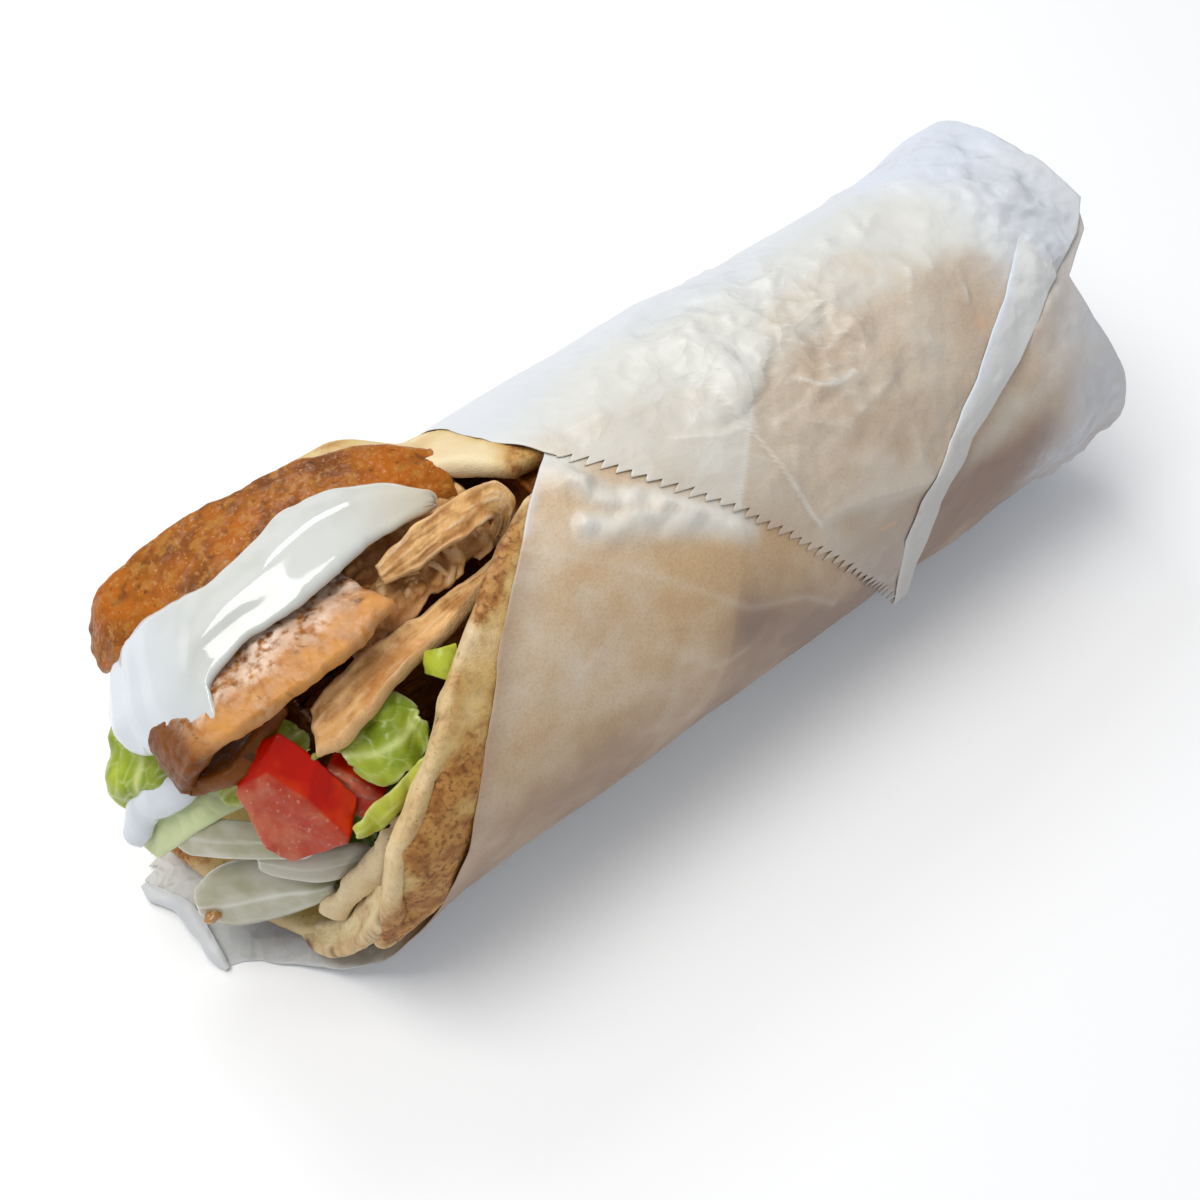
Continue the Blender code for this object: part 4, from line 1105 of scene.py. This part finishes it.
# Painted sheen on the fibre crests and painted shade in the grooves between them
def fibreMasks(flat, border, u, v, relief):
    found = meatMasks(flat, border, u, v, relief)
    found["filmAndSheen"] = smoothStep((relief - 0.02) / 0.3) * 0.6
    found["orange"] = smoothStep(fractal(flat, 9.0, 3, 131)) * 0.6
    found["hollowShade"] = smoothStep((-relief - 0.08) / 0.3) * 0.85
    found["char"] = found["char"] * 0.4
    return found


# Torn, crumbling meat: rounded crumbs in two sizes
def tornRelief(flat):
    near, far = cellDistances(flat[..., 0], flat[..., 1], 3.4, 197)
    fine = cellDistances(flat[..., 0], flat[..., 1], 1.6, 198)[0]
    return smoothStep((far - near) / 1.8) - 0.9 + 0.35 * (1 - fine) + 0.6 * fractal(flat, 6.0, 3, 199)


meatSlices = {
    "meatSliceBack": dict(
        node="meat_slice_back", wall=4.6, crown=1.5, rag=0.6, ragCell=4.0, seed=1, edge=1.8,
        shares=dict(filmAndSheen=0.0, rim=0.8),
        back=[(-34.4, 13.6, -7), (-29.4, 14.6, 1), (-21.4, 14.1, 6), (-5.9, 12.6, 9.5), (14.6, 9.1, 12),
              (26.6, 4.6, 12), (38.6, -3.9, 9)],
        front=[(-37.4, 6.1, -12), (-33.4, 0.1, -4), (-25.4, -6.9, 3), (-7.4, -10.9, 10), (14.6, -10.9, 11),
               (26.6, -12.9, 11), (36.6, -14.9, 9)]),
    "meatSliceFolded": dict(
        node="meat_slice_folded", wall=4.0, crown=0.8, rag=0.45, ragCell=4.0, crinkle=0.5, seed=2, edge=1.3,
        masks=foldedMasks,
        back=[(20.5, 9.0, 11.0), (7.5, 8.7, 10.4), (-11.3, 8.1, 6.4), (-19.4, 8.1, 0.7), (-24.2, 9.1, -7.1),
              (-20.7, 9.1, -13.1), (-11.7, 7.1, -11.1), (1.3, 6.1, -6.1)],
        front=[(24.8, -5.9, 12.9), (7.8, -9.4, 11.9), (-5.7, -8.9, 9.9), (-16.2, -7.4, 5.9),
               (-22.2, -5.9, -1.1), (-24.2, -4.4, -9.1), (-16.7, -9.4, -7.1), (-0.7, -6.9, 0.9)]),
    "meatStripUpper": dict(
        node="meat_strip_upper", wall=2.4, crown=0.2, rag=0.45, ragCell=3.0, seed=3, edge=0.7, step=0.3,
        pale=True,
        back=[(-14.7, 0.8, 2.8), (-6, 1.4, 6.3), (1.7, 1.6, 7.2), (9.7, 1.1, 7.4), (14.4, 0.2, 6.4),
              (15.4, -3.2, 3.4), (13.6, -4.6, -0.2), (10.6, -4.2, -4.2)],
        front=[(-15.6, -2.6, 0.2), (-9.4, -4.7, 2.7), (-3.1, -5, 4.2), (2.1, -5.3, 4.6), (7.2, -4.4, 4),
               (9.6, -3.4, 2), (9.4, -3.9, -1.4), (9, -3.4, -4.4)]),
    "meatSliceLower": dict(
        node="meat_slice_lower", wall=3.4, crown=-0.7, rag=0.6, ragCell=4.0, seed=4, edge=1.1, pale=True,
        back=[(-21.7, 0, 3.5), (-13.2, 2, 5.5), (0.8, 2, 7), (14.8, 3, 7.5), (26.3, 4.5, 7)],
        front=[(-26.2, -8.5, 1.5), (-20.2, -10, 3), (-11.7, -8, 5), (-2.2, -5.5, 6), (7.8, -4, 7),
               (20.3, 0, 7)]),
    "meatShreds": dict(
        node="meat_shreds", wall=3.6, crown=1.2, rag=1.8, seed=5, edge=1.2, pale=True, relief=tornRelief,
        shares=dict(filmAndSheen=0.6, hollowShade=0.8),
        back=[(15.5, 3, 3.8), (5.5, 4.5, 4.3), (-4.5, 3.5, 3.3), (-14.5, 0, 0.3)],
        front=[(12.5, -3, 2.3), (4.5, -4.5, 1.8), (-5.5, -4.5, 0.8), (-15.5, -5.5, -1.2)]),
}
# Small torn shreds lying on the crumbling meat: a path and a width each
shreds = {
    "shredCurl": ([(4.1, 1.6, 0.8), (5.2, 2.2, 3.2), (7, 0.2, 4), (8, -2, 2.6), (9.2, -3.6, 1)], 1.6),
    "shredOrange": ([(11.5, 4.8, 2.6), (14, 4.6, 4.2), (17, 3, 4.6), (18, 1, 2.6)], 2.6),
    "shredUpper": ([(8.6, 4, 3.4), (10.8, 2, 4.2), (11.4, -0.8, 2.4), (10, -2.6, 0.4)], 2.4),
    "shredPale": ([(18.6, 3.6, 3.6), (20, 1.4, 3.2), (19.2, -1, 0.8), (16, -1.6, 0)], 3.0),
    "shredLeft": ([(-3.4, 3.6, 3), (0.2, 2, 4.2), (3.6, 1, 4.2)], 2.8),
}
# Torn meat under the strips and the sauce, which fills the mouth
meatSlices["shredUnder"] = dict(
    node="meat_shreds", stands=(), wall=7.5, crown=1.0, rag=1.4, seed=51, edge=2.6, pale=True,
    relief=tornRelief, shares=dict(filmAndSheen=0.5, hollowShade=0.8),
    back=[(-17, 13, 2.0), (-5, 15, 4.6), (8, 17, 5), (24, 17, 4.6)],
    front=[(-16, 3, 0.6), (-8, 1.4, 2.0), (6, -0.2, 3.6), (22, -0.6, 4.2)])
for name, (path, width) in shreds.items():
    run = np.gradient(np.array(path, float), axis=0)
    aside = unit(np.cross(run, (0.35, 0.44, 0.83))) * width / 2
    meatSlices[name] = dict(
        node="meat_shreds", stands=(), wall=1.1, crown=0.5, rag=0.8, seed=31 + len(meatSlices), edge=0.5,
        step=0.3, pale=True, lowered=0.0, back=path + aside, front=path - aside)
for name, settings in meatSlices.items():
    pale = "pale" in settings
    common = dict(relief=fibreRelief, masks=fibreMasks) if pale else dict(relief=meatRelief, masks=meatMasks)
    stripPiece(name, {**common, **settings}, paleMeatFinish if pale else meatFinish, "roast_meat")


# Thick sauce: soft swells and a few long ridges where it was spooned
def sauceRelief(flat):
    along, across = flat[..., 0], flat[..., 1]
    swell = 0.5 * fractal(flat, 12.0, 2, 121)
    ridge = np.exp(-((across - 9 - 2.5 * np.sin(along / 14)) / 3.2) ** 2)
    step = smoothStep((across - 13 - 2.0 * np.sin(along / 9 + 1)) / 2.5)
    ripple = 0.25 * np.sin(along * 0.9 + across * 0.35) * smoothStep((22 - along) / 12)
    step = step * smoothStep((along - 16) / 10) * smoothStep((52 - along) / 10)
    return swell + ripple + 0.6 * ridge - 0.4 * step


# The left end is painted bright and bluish as a reflection
def sauceMasks(flat, border, u, v, relief):
    return dict(thin=smoothStep((v - 0.75) / 0.25) * 0.7, bright=0.2 + 0.8 * smoothStep((0.45 - v) / 0.3))


# The dollop is painted bright all over: painted light
def dollopMasks(flat, border, u, v, relief):
    return dict(thin=0 * u, bright=1 + 0 * u)


sauces = {
    "sauceRibbon": dict(
        node="sauce_ribbon", wall=2.6, crown=1.4, seed=6, edge=2.0, rag=0.7, lowered=0.5, roundEnds=5.0,
        back=[(-33.3, 11.8, -18), (-28.8, 13.8, -8.5), (-18.8, 10.0, 4.5), (-8.8, 4.4, 11.5), (2.7, 5.3, 14),
              (13.7, 7.8, 15), (25.7, 3.3, 15), (36.7, -6.7, 13.5)],
        front=[(-35.8, -4.2, -14.5), (-31.2, -13.4, -3), (-26.3, -18.8, 3.5), (-22.8, -19.6, 7.4),
               (-20, -13.4, 9.6), (-12.3, -12, 12.5), (-1.8, -12.4, 14.5), (13.7, -10.6, 16),
               (26.7, -9.2, 15.5), (33.7, -9.7, 14.5)]),
    "sauceDollop": dict(
        node="sauce_dollop", wall=3.6, crown=2.0, seed=7, edge=2.8, rag=0.3, roundEnds=5.0, masks=dollopMasks,
        back=[(-8.7, 3.4, -7.5), (-3.7, 5.9, 0.5), (1.3, 2.9, 7), (6.3, -3.1, 10)],
        front=[(-7.7, -0.6, -8.5), (-3.7, -1.1, -1.5), (1.3, -5.1, 5), (6.3, -6.6, 8.5)]),
}
for name, settings in sauces.items():
    stripPiece(name, {**dict(relief=sauceRelief, masks=sauceMasks), **settings}, sauceFinish, "white_sauce")


# How far each place lies from the net of fine veins
def leafNet(flat):
    near, far = cellDistances(flat[..., 0], flat[..., 1] * 1.3, 4.6, 131)
    return far - near


# A leaf bulges between its veins
def leafRelief(flat):
    return 0.18 * smoothStep(leafNet(flat) / 2.4) + 0.05 * fractal(flat, 2.0, 2, 133)


# Veins: a midrib along the leaf and a fine net between its bulges
def leafMasks(flat, border, u, v, relief):
    net = smoothStep(1 - leafNet(flat) / 0.55) * 0.55
    rib = np.exp(-((u - 0.5 - 0.12 * np.sin(3 * v)) / 0.05) ** 2)
    return dict(vein=np.clip(rib + net, 0, 1), pale=np.exp(-(border / 0.7) ** 2) * 0.5, brownAndShade=0 * u,
                yellow=0.5 + 0.5 * smoothStep(fractal(flat, 5.0, 2, 137)),
                deep=smoothStep(-fractal(flat, 7.0, 2, 135) - 0.1) * 0.5)


def ribMasks(flat, border, u, v, relief):
    return dict(vein=0.5 + 0 * u, pale=0.8 + 0 * u, brownAndShade=0 * u, yellow=0 * u, deep=0 * u)


leaves = {
    "lettuceLeft": dict(
        node="lettuce_left", crown=1.5, ripple=0.9, waves=6, crinkle=0.8, seed=8, rag=0.8,
        back=[(2.9, 9.7, 5.9), (-3.6, 6.2, 1.9), (-6.6, 2.2, -4.1), (-7.6, -1.8, -9.1)],
        front=[(6.4, -7.3, 8.9), (2.9, -9.3, 4.9), (0.4, -9.3, 1.4), (-1.6, -7.3, -3.1)]),
    "lettuceRib": dict(
        node="lettuce_rib", wall=2.6, crown=0.8, crinkle=0.3, seed=9, edge=1.2, rag=0.2, roundEnds=0,
        ragCell=5.0, masks=ribMasks, shares={},
        back=[(-11.2, 7.8, -9.4), (-6.2, 7.3, -1.4), (0.8, 1.3, 6.6), (9.8, -4.7, 11.6)],
        front=[(-9.8, 1.8, -9.9), (-5.2, -2.2, -2.4), (0.2, -5.7, 4.1), (8.8, -9.2, 8.6)]),
    "lettuceCentre": dict(
        node="lettuce_centre", crown=2.2, ripple=1.0, waves=6, crinkle=0.9, seed=10, rag=0.8,
        back=[(-7.6, 7.9, 1.3), (-0.6, 6.4, 3.3), (7.9, 3.9, 5.3)],
        front=[(-7.1, -5.6, -3.2), (-1.1, -7.6, -2.7), (6.9, -6.1, -0.7)]),
    "lettuceSprig": dict(
        node="lettuce_sprig", crown=0.6, ripple=0.5, waves=9, crinkle=0.9, seed=11, rag=0.4, shares={},
        back=[(-9.8, 1.4, -3.4), (-5.2, 1.4, -1.4), (2.8, 0.4, 3.1), (9.8, 1.4, 7.1)],
        front=[(-10.2, -0.6, -5.9), (-4.8, -2.1, -4.4), (2.2, -2.1, 0.6), (9.8, -1.1, 5.1)]),
    "lettuceDark": dict(
        node="lettuce_dark", crown=1.0, ripple=0.6, waves=5, crinkle=0.7, seed=12, rag=0.6,
        back=[(-8.2, 5.4, -3.2), (-1.2, 4.4, 3.8), (7.8, 2.4, 7.8)],
        front=[(-8.2, -1.6, -7.2), (-1.2, -3.6, 0.8), (8.8, -5.6, 5.2)]),
}
thinLeaf = dict(wall=0.8, edge=0.5, roundEnds=3.0, ragCell=2.5, shares=dict(yellow=0.15), relief=leafRelief,
                masks=leafMasks)
for name, settings in leaves.items():
    stripPiece(name, {**thinLeaf, **settings}, lettuceFinish, "lettuce")


# Onion: shallow steps between its layers, running along the slice
def onionRelief(flat):
    drift = flat[..., 1] + 0.5 * fractal(flat, 9.0, 2, 141)
    return 0.14 * np.sin(drift * 1.1) + 0.12 * fractal(flat, 5.0, 2, 143)


# Pale lines between the layers, lighter on the relief's crests as painted highlight, a painted highlight
# streak along the middle groove and a painted highlight along the rim
def onionMasks(flat, border, u, v, relief):
    middle = np.exp(-((u - 0.46 - 0.05 * np.sin(4 * v)) / 0.03) ** 2)
    line = smoothStep((relief - 0.05) / 0.3) * 0.3 + 0.6 * middle + 0.8 * np.exp(-(border / 0.7) ** 2)
    return dict(line=np.clip(line, 0, 1), pink=smoothStep(fractal(flat, 9.0, 2, 145)),
                caramel=spot(v, 0.09, 0.035, u, 0.66, 0.13))


onions = {
    "onionArc": dict(
        node="onion_arc", crown=1.0, seed=13, shares=dict(caramel=0, pink=0),
        back=[(-9.2, 13.9, -2.3), (-1.2, 3.4, 3.7), (8.8, -10.1, 7.7)],
        front=[(-10.7, 7.9, -6.3), (-4.2, -1.1, -1.8), (7.8, -13.6, 3.2)]),
    "onionSlice": dict(
        node="onion_slice", wall=3.4, crown=2.4, seed=14, edge=1.5, roundEnds=7.0, shares=dict(pink=0),
        back=[(-11, 11.2, -2.4), (-4.7, 7.2, 4.8), (1.6, 1.9, 8.4), (6.6, -4.1, 8.6), (11, -9.4, 6.6)],
        front=[(-13.3, 7, -9.4), (-8.6, 2.4, -10.4), (-2.5, -2.6, -7.4), (4, -7.5, -1.4), (9.8, -11, 3.6)]),
    "onionBack": dict(
        node="onion_back", crown=0.9, seed=15, shares=dict(caramel=0, pink=0.7),
        back=[(-9.8, 8.1, 2.6), (0.2, -1.4, 4.1), (8.8, -6.4, 4.1)],
        front=[(-9.8, 3.6, -1.9), (-1.2, -4.4, -3.4), (8.2, -8.9, -1.4)]),
}
thinOnion = dict(wall=2.4, edge=1.0, roundEnds=3.0, relief=onionRelief, masks=onionMasks)
for name, settings in onions.items():
    stripPiece(name, {**thinOnion, **settings}, onionFinish, "onion")


# A block whose face is a flat outline: rings from the face's middle to its rim, down the side
# along the reach, and in again over the back; the rim is rounded
def blockPiece(name, node, corners, reach, edge, relief, masks, finish, slot):
    columns, sideSteps, step, cornerSteps = 160, 24, 0.5, 6
    corners, reach = np.array(corners) + middleOf(node), np.array(reach)
    centre = corners.mean(axis=0)
    turned = np.roll(corners, -1, axis=0)
    normal = np.cross(corners - centre, turned - centre).sum(axis=0)
    normal /= np.linalg.norm(normal)
    if normal @ reach > 0:
        normal = -normal
    first = corners[0] - centre
    first -= normal * (first @ normal)
    first /= np.linalg.norm(first)
    second = np.cross(normal, first)
    share = np.linspace(0, 1, sideSteps)[None, :, None]
    outline = (corners - centre)[:, None] * (1 - share) + (turned - centre)[:, None] * share
    outline = outline[:, :-1].reshape(-1, 3)
    bearing = np.arctan2(outline @ second, outline @ first) % (2 * math.pi)
    order = np.argsort(bearing)
    around = np.linspace(0, 2 * math.pi, columns, endpoint=False)
    far = np.hypot(outline @ first, outline @ second)
    radius = np.interp(around, bearing[order], far[order], period=2 * math.pi)
    tilt = np.interp(around, bearing[order], (outline @ normal)[order], period=2 * math.pi)
    depth = np.linalg.norm(reach)
    bend = np.linspace(0, math.pi / 2, cornerSteps)[1:]
    faceShare = np.linspace(0.04, 1, max(6, int(radius.max() / step)))
    sideShare = np.linspace(0, 1, max(4, int(depth / step)))[1:]
    rows = [((radius - edge) * part, 0.0) for part in faceShare]
    rows += [(radius - edge * (1 - np.sin(part)), edge * (1 - np.cos(part)) / depth) for part in bend]
    rows += [(radius, (edge + (depth - 2 * edge) * part) / depth) for part in sideShare]
    rows += [(radius - edge * (1 - np.cos(part)),
              (depth - edge * (1 - np.sin(part))) / depth) for part in bend]
    rows += [((radius - edge) * part, 1.0) for part in faceShare[::-1][1:]]
    spreadOut = np.array([row[0] for row in rows])
    sunk = np.array([row[1] for row in rows])[:, None]
    spokes = np.cos(around)[:, None] * first + np.sin(around)[:, None] * second
    rings = centre + spreadOut[..., None] * spokes
    rings = rings + normal * (tilt[None, :] * spreadOut / radius)[..., None] + reach * sunk[..., None]
    rings = rings + ringNormals(rings) * relief(rings)[..., None]
    return ringPiece(name, rings, masks(rings, sunk + 0 * spreadOut), finish, slot, (node,))


def tomatoRelief(places):
    return 0.4 * fractal(places, 6.0, 3, 151) + 0.1 * fractal(places, 1.4, 2, 153)


def tomatoMasks(places, sunk):
    return dict(skin=smoothStep((sunk - 0.1) / 0.08), flesh=smoothStep(fractal(places, 6.0, 3, 155) + sunk))


tomatoes = {
    "tomatoWedge": dict(
        node="tomato_wedge", edge=1.3, reach=(6.5, 4.5, 5.5),
        corners=[(-3.8, 4.1, 6.8), (-0.2, -2.4, 2.2), (3.2, -9.9, -6.8), (-2.2, -6.4, -10.8),
                 (-6.8, -3.9, -12.2), (-9.8, -0.4, -8.2), (-9.2, 7.1, 2.8)]),
    "tomatoPiece": dict(
        node="tomato_piece", edge=0.7, reach=(9.0, 6.0, 1.0),
        corners=[(-6.6, 1.8, 3.8), (-4.1, -2.7, 2.8), (-1.1, -7.7, -1.7), (-5.1, -7.2, -4.7),
                 (-7.6, -1.7, -4.2)]),
}
for name, settings in tomatoes.items():
    blockPiece(name, **settings, relief=tomatoRelief, masks=tomatoMasks, finish=tomatoFinish, slot="tomato")


# Small bits as one piece: rounded lumps of uneven shape at given places, each with its radii
def bitsPiece(name, node, finish, slot, bits, masks):
    table = np.array(bits)[:, None, None]
    columns, rows, poleAngle = 14, 9, 0.14
    around = np.linspace(0, 2 * math.pi, columns, endpoint=False)
    down = np.linspace(poleAngle, math.pi - poleAngle, rows)[:, None]
    ball = np.stack([np.sin(down) * np.cos(around), np.sin(down) * np.sin(around),
                     np.cos(down) + 0 * around], axis=-1)
    points = middleOf(node) + table[..., :3] + ball * table[..., 3:6]
    points = points + 0.5 * table[..., 3:4] * ball * fractal(points, 0.9, 2, 201)[..., None]
    index = np.arange(ball[..., 0].size).reshape(ball.shape[:2])
    start = np.arange(len(bits))[:, None] * index.size
    index = np.concatenate([index, index[:, :1]], axis=1)
    faces = [(quads(index)[:, ::-1][None] + start[..., None]).reshape(-1, 4), index[0, :-1] + start,
             index[-1, :-1][::-1] + start]
    masks = {mask: np.full(len(bits) * ball[..., 0].size, value) for mask, value in masks.items()}
    meshPiece(name, points.reshape(-1, 3), faces, masks, finish, slot)


bitsPiece("herbBits", "tomato_wedge", lettuceFinish, "lettuce",
          bits=[(3.4, 4.6, 8.2, 0.9, 0.5, 0.4), (4.4, 3.6, 7.9, 0.6, 0.8, 0.4),
                (5.6, 2.4, 7.2, 0.9, 0.5, 0.5), (2.2, 5.4, 8.6, 0.5, 0.4, 0.4), (5, 4, 7.6, 1.3, 0.3, 0.3)],
          masks=dict(vein=0.1, pale=0.2, brownAndShade=0.0, yellow=0.2, deep=0.3))
bitsPiece("onionDrop", "onion_slice", onionFinish, "onion", bits=[(-11.6, 4.6, -5.2, 1.7, 1.3, 0.7)],
          masks=dict(line=0.1, pink=0, caramel=0.95))
bitsPiece("meatCrumbs", "meat_shreds", paleMeatFinish, "roast_meat",
          bits=[(-12.9, 2.2, -5.2, 1.3, 1.0, 0.9), (-9.3, 2.2, -3.0, 1.6, 1.3, 1.0),
                (-6.3, 2.1, -1.0, 1.2, 1.5, 1.0), (-2.7, 1.0, 1.4, 1.6, 1.2, 1.0),
                (-14.6, 1.4, -5.4, 1.4, 0.9, 0.8), (-10.9, -0.2, -3.4, 1.0, 1.2, 0.8),
                (-4.6, -0.6, 0.4, 1.3, 1.0, 0.8), (0.6, -1.4, 2.2, 1.2, 0.9, 0.8),
                (2.6, 0.4, 3.0, 0.9, 1.2, 0.8)],
          masks=dict(char=0.0, orange=0.1, filmAndSheen=0.4, hollowShade=0.2, rim=0.2))


# A curled band of pepper: an arc swept along its axis
pepper = dict(radius=2.7, aside=(0.785, -0.62, 0.0), up=(-0.347, -0.439, 0.829), axis=(1.5, 2.0, 1.6))
turn = np.radians(np.linspace(25, 235, 9))[:, None]
arc = pepper["radius"] * (np.cos(turn) * np.array(pepper["aside"]) + np.sin(turn) * np.array(pepper["up"]))
axis = np.array(pepper["axis"]) * (1 + 0.25 * np.cos(turn))
stripPiece("pepperBand", dict(
    node="pepper_ring", wall=1.1, crown=0.25, seed=16, edge=0.5, rag=0.2, lowered=0.0, relief=leafRelief,
    masks=ribMasks, shares=dict(pale=0.3, vein=0.4), back=arc + axis, front=arc - axis),
    pepperFinish, "green_pepper")


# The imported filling: a D-shaped section carried along the roll, its mouth end stepped back where
# slices, salad and sauce lie. An opening is the x it reaches back to, the y it ends at, and its lowest
# and highest z.
def bedPiece(name, node, openings, masks, finish, slot, seed):
    low, high = (np.array(part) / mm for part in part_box(node))
    centreZ = (low[2] + high[2]) / 2
    columns, capRows, sideRows, mouthRows = 220, 14, 120, 60
    around = np.linspace(0, 2 * math.pi, columns, endpoint=False)
    dy, dz = np.cos(around), np.sin(around)
    breadDepth, softness, drop = 5.9, 3, 0.5
    shift = centreZ - (roll["mouthRadius"] - drop - roll["settle"])

    def reachAt(x):
        circle = radiusAt(x - roll["middleX"]) - breadDepth
        toCircle = -dz * shift + np.sqrt(np.maximum((dz * shift) ** 2 - shift * shift + circle * circle, 0))
        toTop = (high[2] - centreZ) / np.maximum(dz, 1e-6)
        toBottom = (low[2] - centreZ) / np.minimum(dz, -1e-6)
        return np.minimum(toCircle, np.where(dz > 0, toTop, toBottom))

    def mouthAt(y, z):
        deepest = np.full(np.shape(y), low[0])
        for limit, side, above, below in openings:
            inside = smoothStep((z - above) / softness + 0.5) * smoothStep((below - z) / softness + 0.5)
            inside = inside * smoothStep((side - y) / softness + 0.5)
            deepest = np.maximum(deepest, low[0] + (limit - low[0]) * inside)
        return deepest

    def ringAt(x, radius):
        return np.stack([x + 0 * around, radius * dy, centreZ + radius * dz], axis=-1)

    farReach, mouthReach = reachAt(high[0]), reachAt(low[0])
    mouth = mouthAt(mouthReach * dy, centreZ + mouthReach * dz)
    rows = [ringAt(high[0], farReach * part) for part in np.linspace(0.05, 1, capRows)]
    for part in np.linspace(0, 1, sideRows)[1:]:
        x = high[0] + (mouth - high[0]) * part
        rows.append(ringAt(x, reachAt(x)))
    for part in np.linspace(0.02, 1, mouthRows)[::-1]:
        radius = mouthReach * part
        rows.append(ringAt(mouthAt(radius * dy, centreZ + radius * dz), radius))
    rings = np.array(rows)
    lumps = 0.9 * fractal(rings, 7.0, 3, seed) + 0.4 * fractal(rings, 2.2, 2, seed + 3)
    rings = rings - ringNormals(rings) * (0.8 + np.abs(lumps))[..., None]
    ringPiece(name, rings, masks(fractal(rings, 3.0, 3, seed + 9)), finish, slot, (node,))


# The packed meat is darkened all over with painted shade
def packedMeatMasks(cloud):
    return dict(char=smoothStep(cloud) * 0.6, orange=smoothStep(-cloud) * 0.5, filmAndSheen=0 * cloud,
                hollowShade=0.5 + 0 * cloud, rim=0 * cloud)


# The packed salad is darkened all over with painted shade (deep green)
def packedSaladMasks(cloud):
    return dict(vein=0 * cloud, pale=smoothStep(cloud) * 0.3, brownAndShade=smoothStep(-cloud - 0.4),
                yellow=0 * cloud, deep=0.6 + 0 * cloud)


bedPiece("packedMeat", "meat_bed",
         [(-26, 60, 66, 100), (-30, 1, 59, 100), (-40, -12, 30, 100), (-84, 8.5, 48, 100),
          (-92, 60, 60, 100)],
         packedMeatMasks, meatFinish, "packed_meat", 161)
bedPiece("packedSalad", "salad_bed", [(-68, -24, -1, 41), (-84, -8, 22, 41)], packedSaladMasks, lettuceFinish,
         "packed_salad", 171)

stage = dict(floorSize=6.0, floorTone=(250, 250, 250), floorRough=0.9, worldTone=(240, 243, 248),
             worldStrength=0.55)
lights = {
    "keyLight": dict(place=(-0.28, 0.2, 1.0), aim=(0, 0, 0.03), size=0.6, power=6.6,
                     colour=(1.0, 0.985, 0.96)),
    "windowLight": dict(place=(0.05, 0.56, 0.66), aim=(-0.03, 0, 0.05), size=0.22, power=1.3,
                        colour=(0.94, 0.97, 1.0)),
}
view = dict(azimuth=-38.3, elevation=56.0, distance=0.37905, lens=50.0, aim=(-0.008, 0.0, 0.0229))


def setStage():
    corner = stage["floorSize"] / 2
    mesh = bpy.data.meshes.new("floor")
    mesh.from_pydata([(-corner, -corner, 0), (corner, -corner, 0), (corner, corner, 0), (-corner, corner, 0)],
                     [], [(0, 1, 2, 3)])
    floor = addObject("floor", mesh)
    paint = bpy.data.materials.new("floorPaint")
    paint.use_nodes = True
    tree = paint.node_tree
    look = {"Base Color": tone(*stage["floorTone"]), "Roughness": stage["floorRough"],
            "Specular IOR Level": 0.0}
    fillInputs(tree, tree.nodes["Principled BSDF"], look)
    mesh.materials.append(paint)
    world = bpy.data.worlds.new("studio")
    world.use_nodes = True
    tree = world.node_tree
    fillInputs(tree, tree.nodes["Background"], {"Color": tone(*stage["worldTone"]),
                                                "Strength": stage["worldStrength"]})
    bpy.context.scene.world = world


def softLight(name, place, aim, size, power, colour):
    data = bpy.data.lights.new(name, "AREA")
    data.shape = "SQUARE"
    data.size = size
    data.energy = power
    data.color = colour
    light = addObject(name, data)
    light.location = place
    direction = np.array(aim) - np.array(place)
    light.rotation_euler = Vector(direction).to_track_quat("-Z", "Y").to_euler()


def setCamera():
    azimuth, elevation = math.radians(view["azimuth"]), math.radians(view["elevation"])
    back = Vector((math.sin(azimuth) * math.cos(elevation), -math.cos(azimuth) * math.cos(elevation),
                      math.sin(elevation)))
    data = bpy.data.cameras.new("camera")
    data.lens = view["lens"]
    camera = addObject("camera", data)
    camera.location = Vector(view["aim"]) + back * view["distance"]
    camera.rotation_euler = back.to_track_quat("Z", "Y").to_euler()
    bpy.context.scene.camera = camera


setStage()
for name, settings in lights.items():
    softLight(name, **settings)
setCamera()
print("floor, lights and camera made")
bpy.context.scene.view_settings.view_transform = "Standard"
